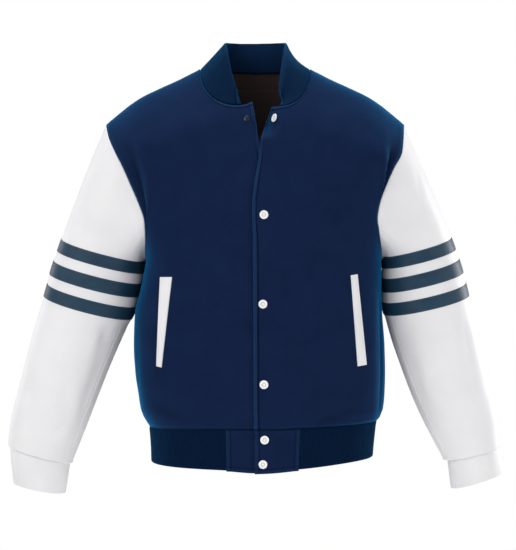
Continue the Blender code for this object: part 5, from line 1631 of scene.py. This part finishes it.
def make_cuff(side, looks):
    """A leather cuff whose ends overlap at the outer side."""
    table = CUFF[side]
    word = WORD[side]
    edge = np.array(CUFF_END_SPOTS) / CUFF_RADIUS
    round_cuff = stations(2 * math.pi + CUFF_LAP, 0.0032 / CUFF_RADIUS, edge, edge)
    lift = CUFF_LAP_LIFT * (1 - ease(round_cuff, *CUFF_LAP_CLOSE))
    shares = stations(CUFF_DEPTH, 0.003, CUFF_EDGE_SPOTS, CUFF_EDGE_SPOTS) / CUFF_DEPTH
    rows = np.array([arm_ring(table, share * (len(table) - 1), CUFF_LAP_ANGLE + round_cuff) for share in shares])
    piece = Cloth(rows, rows.mean(axis=1, keepdims=True))
    relief = -0.0007 * bell(piece.low, 0.0, 0.002) - rolled(piece.last, CUFF_ROLL)
    for edge in (piece.high, piece.first):
        relief = relief - rolled(edge, CUFF_ROLL) - 0.0003 * bell(edge, CUFF_STITCH_AT, 0.0009)
    outside = piece.moved(lift + relief)
    leather = add_shell(f"cuff_{word}_leather", f"cuff_{word}", "white_leather", outside.points,
                        piece.lifted(lift - CUFF_WALL), [looks["leather"], looks["lining"]], trim=2)
    lines = [outside.line(-CUFF_STITCH_AT, 0), outside.line(CUFF_STITCH_AT, 1)]
    add_stitches(f"cuff_{word}_stitches", lines, looks["white_thread"], "white_leather", CUFF_STITCH)


# ---------------------------------------------------------------- snaps
TOP_SNAP_TURN = math.radians(-7)  # the open top snap hangs on its loose corner


def turned(name, profile, point, normal, looks, node, slot, inner=None, segments=56):
    """A turned piece: a profile of (radius, height) spun round a normal. Both ends lie on the axis.

    The rings of the profile that lie between the two radii of inner take the second look.
    """
    turn = np.array(Vector(normal).to_track_quat("Z", "Y").to_matrix())
    profile = np.array(profile)
    angle = np.linspace(0, 2 * math.pi, segments, endpoint=False)
    radius, height = profile[1:-1, :, None].transpose(1, 0, 2)
    body = np.stack((radius * np.cos(angle), radius * np.sin(angle), height * np.ones(segments)), axis=-1)
    vertices = np.concatenate((body.reshape(-1, 3), [(0, 0, profile[0][1]), (0, 0, profile[-1][1])]))
    number = np.arange(radius.size * segments).reshape(radius.size, segments)
    after = np.roll(number, -1, axis=1)
    sides = np.stack((number[:-1], after[:-1], after[1:], number[1:]), axis=-1).reshape(-1, 4)
    low = [(number.size, b, a) for a, b in zip(number[0], after[0])]
    high = [(number.size + 1, a, b) for a, b in zip(number[-1], after[-1])]
    mesh = bpy.data.meshes.new(name)
    mesh.from_pydata((vertices @ turn.T + point).tolist(), [], sides.tolist() + low + high)
    for look in looks:
        mesh.materials.append(look)
    if inner is not None:
        between = (radius[:-1, 0] + radius[1:, 0]) / 2
        second = (between > inner[0]) & (between < inner[1]) & (height[:-1, 0] > 0.3 * height.max())
        marks = np.concatenate((np.repeat(second, segments), np.zeros(2 * segments, bool))).astype(np.int32)
        mesh.polygons.foreach_set("material_index", marks)
    mesh.shade_smooth()
    return settle(add_object(name, mesh), node, slot=slot)


SNAP_INNER = (0.27, 0.50)  # the grey ring's radii as shares of the cap's


def snap_profile():
    """Ring snap's cap: a rounded rim, a flat white ring, a sunk grey ring and a small domed middle."""
    rim = [(0.88 + 0.12 * math.cos(a), 0.5 + 0.5 * math.sin(a)) for a in np.linspace(-1.4, 1.7, 10)]
    dish = [(0.76, 0.97), (0.64, 0.92), (0.54, 0.90), (0.505, 0.84), (0.495, 0.66), (0.47, 0.60), (0.40, 0.58),
            (0.32, 0.60), (0.275, 0.64), (0.265, 0.80), (0.24, 0.86), (0.14, 0.92)]
    return np.array([(0.0, 0.0), (0.80, 0.0)] + rim + dish + [(0.0, 0.94)]) * (SNAP_RADIUS, SNAP_HEIGHT)


def stud_profile():
    """Stud of the open snap: a flange with a waisted post."""
    shares = ((0.0, 0.0), (0.96, 0.0), (1.0, 0.06), (1.0, 0.20), (0.95, 0.27), (0.70, 0.30), (0.57, 0.36),
              (0.55, 0.50), (0.60, 0.72), (0.60, 0.85), (0.52, 0.97), (0.30, 1.0), (0.0, 1.0))
    return np.array(shares) * (STUD_RADIUS, STUD_HEIGHT)


def surface_frame(x, height, face, lap):
    """A point of the body's outside and the outward normal there."""
    reach = 0.003
    spots = ((x - reach, height), (x + reach, height), (x, height - reach), (x, height + reach), (x, height))
    left, right, below, above, point = (body_point(place_at(px, pz), pz, face, lap) for px, pz in spots)
    return point, facing(unit(np.cross(right - left, above - below)), point, BODY_MIDDLE)


def cuff_snap_frame(side):
    """Point and outward normal for the snap on a cuff's overlap."""
    row = CUFF[side][CUFF_SNAP_ROW]
    angle = CUFF_LAP_ANGLE + (2 * math.pi + CUFF_LAP) / CUFF_SNAP_STEPS
    before, point, after = ring(row, angle + np.array((-0.05, 0.0, 0.05)))
    above, below = (ring(table_row, np.array((angle,)))[0] for table_row in (CUFF[side][0], CUFF[side][2]))
    centre = ((row[0] + row[2]) / 2, row[4], (row[1] + row[3]) / 2)
    normal = facing(unit(np.cross(after - before, below - above)), point, centre)
    return point + normal * CUFF_LAP_LIFT, normal


def make_snaps(looks):
    """The front snaps, the open snap's stud and the snaps of the cuffs."""
    spots = []
    for number, (x, height, gap) in enumerate(SNAPS, start=1):
        point, normal = surface_frame(x, height, -1, True)
        if number == 1:
            normal = np.array(Matrix.Rotation(TOP_SNAP_TURN, 3, "Z") @ Vector(normal))
            gap = gap + SNAP_RADIUS * abs(math.sin(TOP_SNAP_TURN))
        spots.append((f"snap_{number}", point, normal, gap))
    for side, word in WORD.items():
        spots.append((f"cuff_snap_{word}", *cuff_snap_frame(side), LAY_GAP))
    for node, point, normal, gap in spots:
        turned(f"{node}_cap", snap_profile(), point + normal * gap, normal, [looks["enamel"], looks["ring"]], node,
               "white_enamel", [SNAP_RADIUS * share for share in SNAP_INNER])
    point, normal = surface_frame(*STUD, -1, False)
    turned("snap_stud_post", stud_profile(), point + normal * LAY_GAP, normal, [looks["metal"]], "snap_stud",
           "dark_metal")


# ---------------------------------------------------------------- stage
WORLD_LIGHT = 0.41
# soft boxes: name, place, size, power in watts
LIGHTS = (
    ("key", (-1.25, -1.7, 1.05), (1.4, 1.4), 18.5),
    ("fill", (2.2, -2.4, 0.2), (1.6, 2.0), 9.0),
    ("low", (0.0, -2.3, -1.25), (2.4, 0.5), 10.0),
    ("side_left", (-2.6, -1.1, 0.0), (0.8, 2.2), 8.0),
    ("side_right", (2.6, -1.1, 0.0), (0.8, 2.2), 9.0),
    ("rim_left", (-1.7, 1.1, -0.25), (0.7, 1.2), 7.0),
    ("rim_right", (1.9, 0.9, -0.20), (0.7, 1.2), 22.0),
    ("back", (0.0, 2.6, 0.6), (1.6, 1.6), 9.0),
    ("top", (0.0, 0.1, 2.0), (1.8, 1.0), 30.0),
)
LIGHT_TARGET = (0.0, 0.0, -0.35)


def area_light(name, place, size, power):
    """A soft box aimed at the jacket."""
    light = bpy.data.lights.new(name, "AREA")
    light.shape = "RECTANGLE"
    light.size, light.size_y = size
    light.energy = power
    item = add_object(name, light)
    item.location = place
    item.rotation_euler = (Vector(LIGHT_TARGET) - Vector(place)).to_track_quat("-Z", "Y").to_euler()


def make_stage():
    """Floor, studio light and the camera."""
    mesh = bpy.data.meshes.new("floor")
    turn = np.linspace(0, 2 * math.pi, 64, endpoint=False)
    corners = [(FLOOR_RADIUS * math.cos(a), FLOOR_RADIUS * math.sin(a), FLOOR_HEIGHT) for a in turn]
    mesh.from_pydata(corners, [], [tuple(range(len(corners)))])
    mesh.materials.append(floor_look())
    add_object("floor", mesh)

    world = bpy.data.worlds.new("studio")
    world.use_nodes = True
    tree = world.node_tree
    seen = tree.nodes.new("ShaderNodeBackground")
    mix = tree.nodes.new("ShaderNodeMixShader")
    path = tree.nodes.new("ShaderNodeLightPath")
    tree.links.new(path.outputs["Is Camera Ray"], mix.inputs[0])
    for background, strength, socket in ((tree.nodes["Background"], WORLD_LIGHT, 1), (seen, 1.0, 2)):
        background.inputs["Color"].default_value = (1.0, 1.0, 1.0, 1.0)
        background.inputs["Strength"].default_value = strength
        tree.links.new(background.outputs[0], mix.inputs[socket])
    tree.links.new(mix.outputs[0], tree.nodes["World Output"].inputs["Surface"])
    bpy.context.scene.world = world
    for light in LIGHTS:
        area_light(*light)

    lens = bpy.data.cameras.new("camera")
    lens.sensor_fit = "VERTICAL"
    lens.sensor_height = SENSOR_MM
    lens.lens = SENSOR_MM * FOCAL_PIXELS / IMAGE_HEIGHT_PIXELS
    camera = add_object("camera", lens)
    camera.location = CAMERA_PLACE
    camera.rotation_euler = (math.pi / 2, 0.0, 0.0)
    bpy.context.scene.camera = camera
    bpy.context.scene.view_settings.view_transform = "Standard"


# ---------------------------------------------------------------- the jacket
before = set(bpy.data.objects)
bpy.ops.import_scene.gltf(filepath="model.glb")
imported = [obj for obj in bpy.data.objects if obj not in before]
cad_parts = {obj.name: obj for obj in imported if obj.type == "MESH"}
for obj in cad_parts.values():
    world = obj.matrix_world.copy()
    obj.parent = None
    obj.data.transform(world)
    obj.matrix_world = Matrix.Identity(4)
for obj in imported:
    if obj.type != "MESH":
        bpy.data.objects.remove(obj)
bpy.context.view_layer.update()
make_stage()
LOOKS = make_looks()
make_back(LOOKS)
make_lining(LOOKS)
make_collar(LOOKS)
make_waist_rib(LOOKS)
for side in (-1, 1):
    make_front(side, LOOKS)
    make_tab(side, LOOKS)
    make_welt(side, LOOKS)
    make_sleeve(side, LOOKS)
    make_cuff(side, LOOKS)
make_snaps(LOOKS)
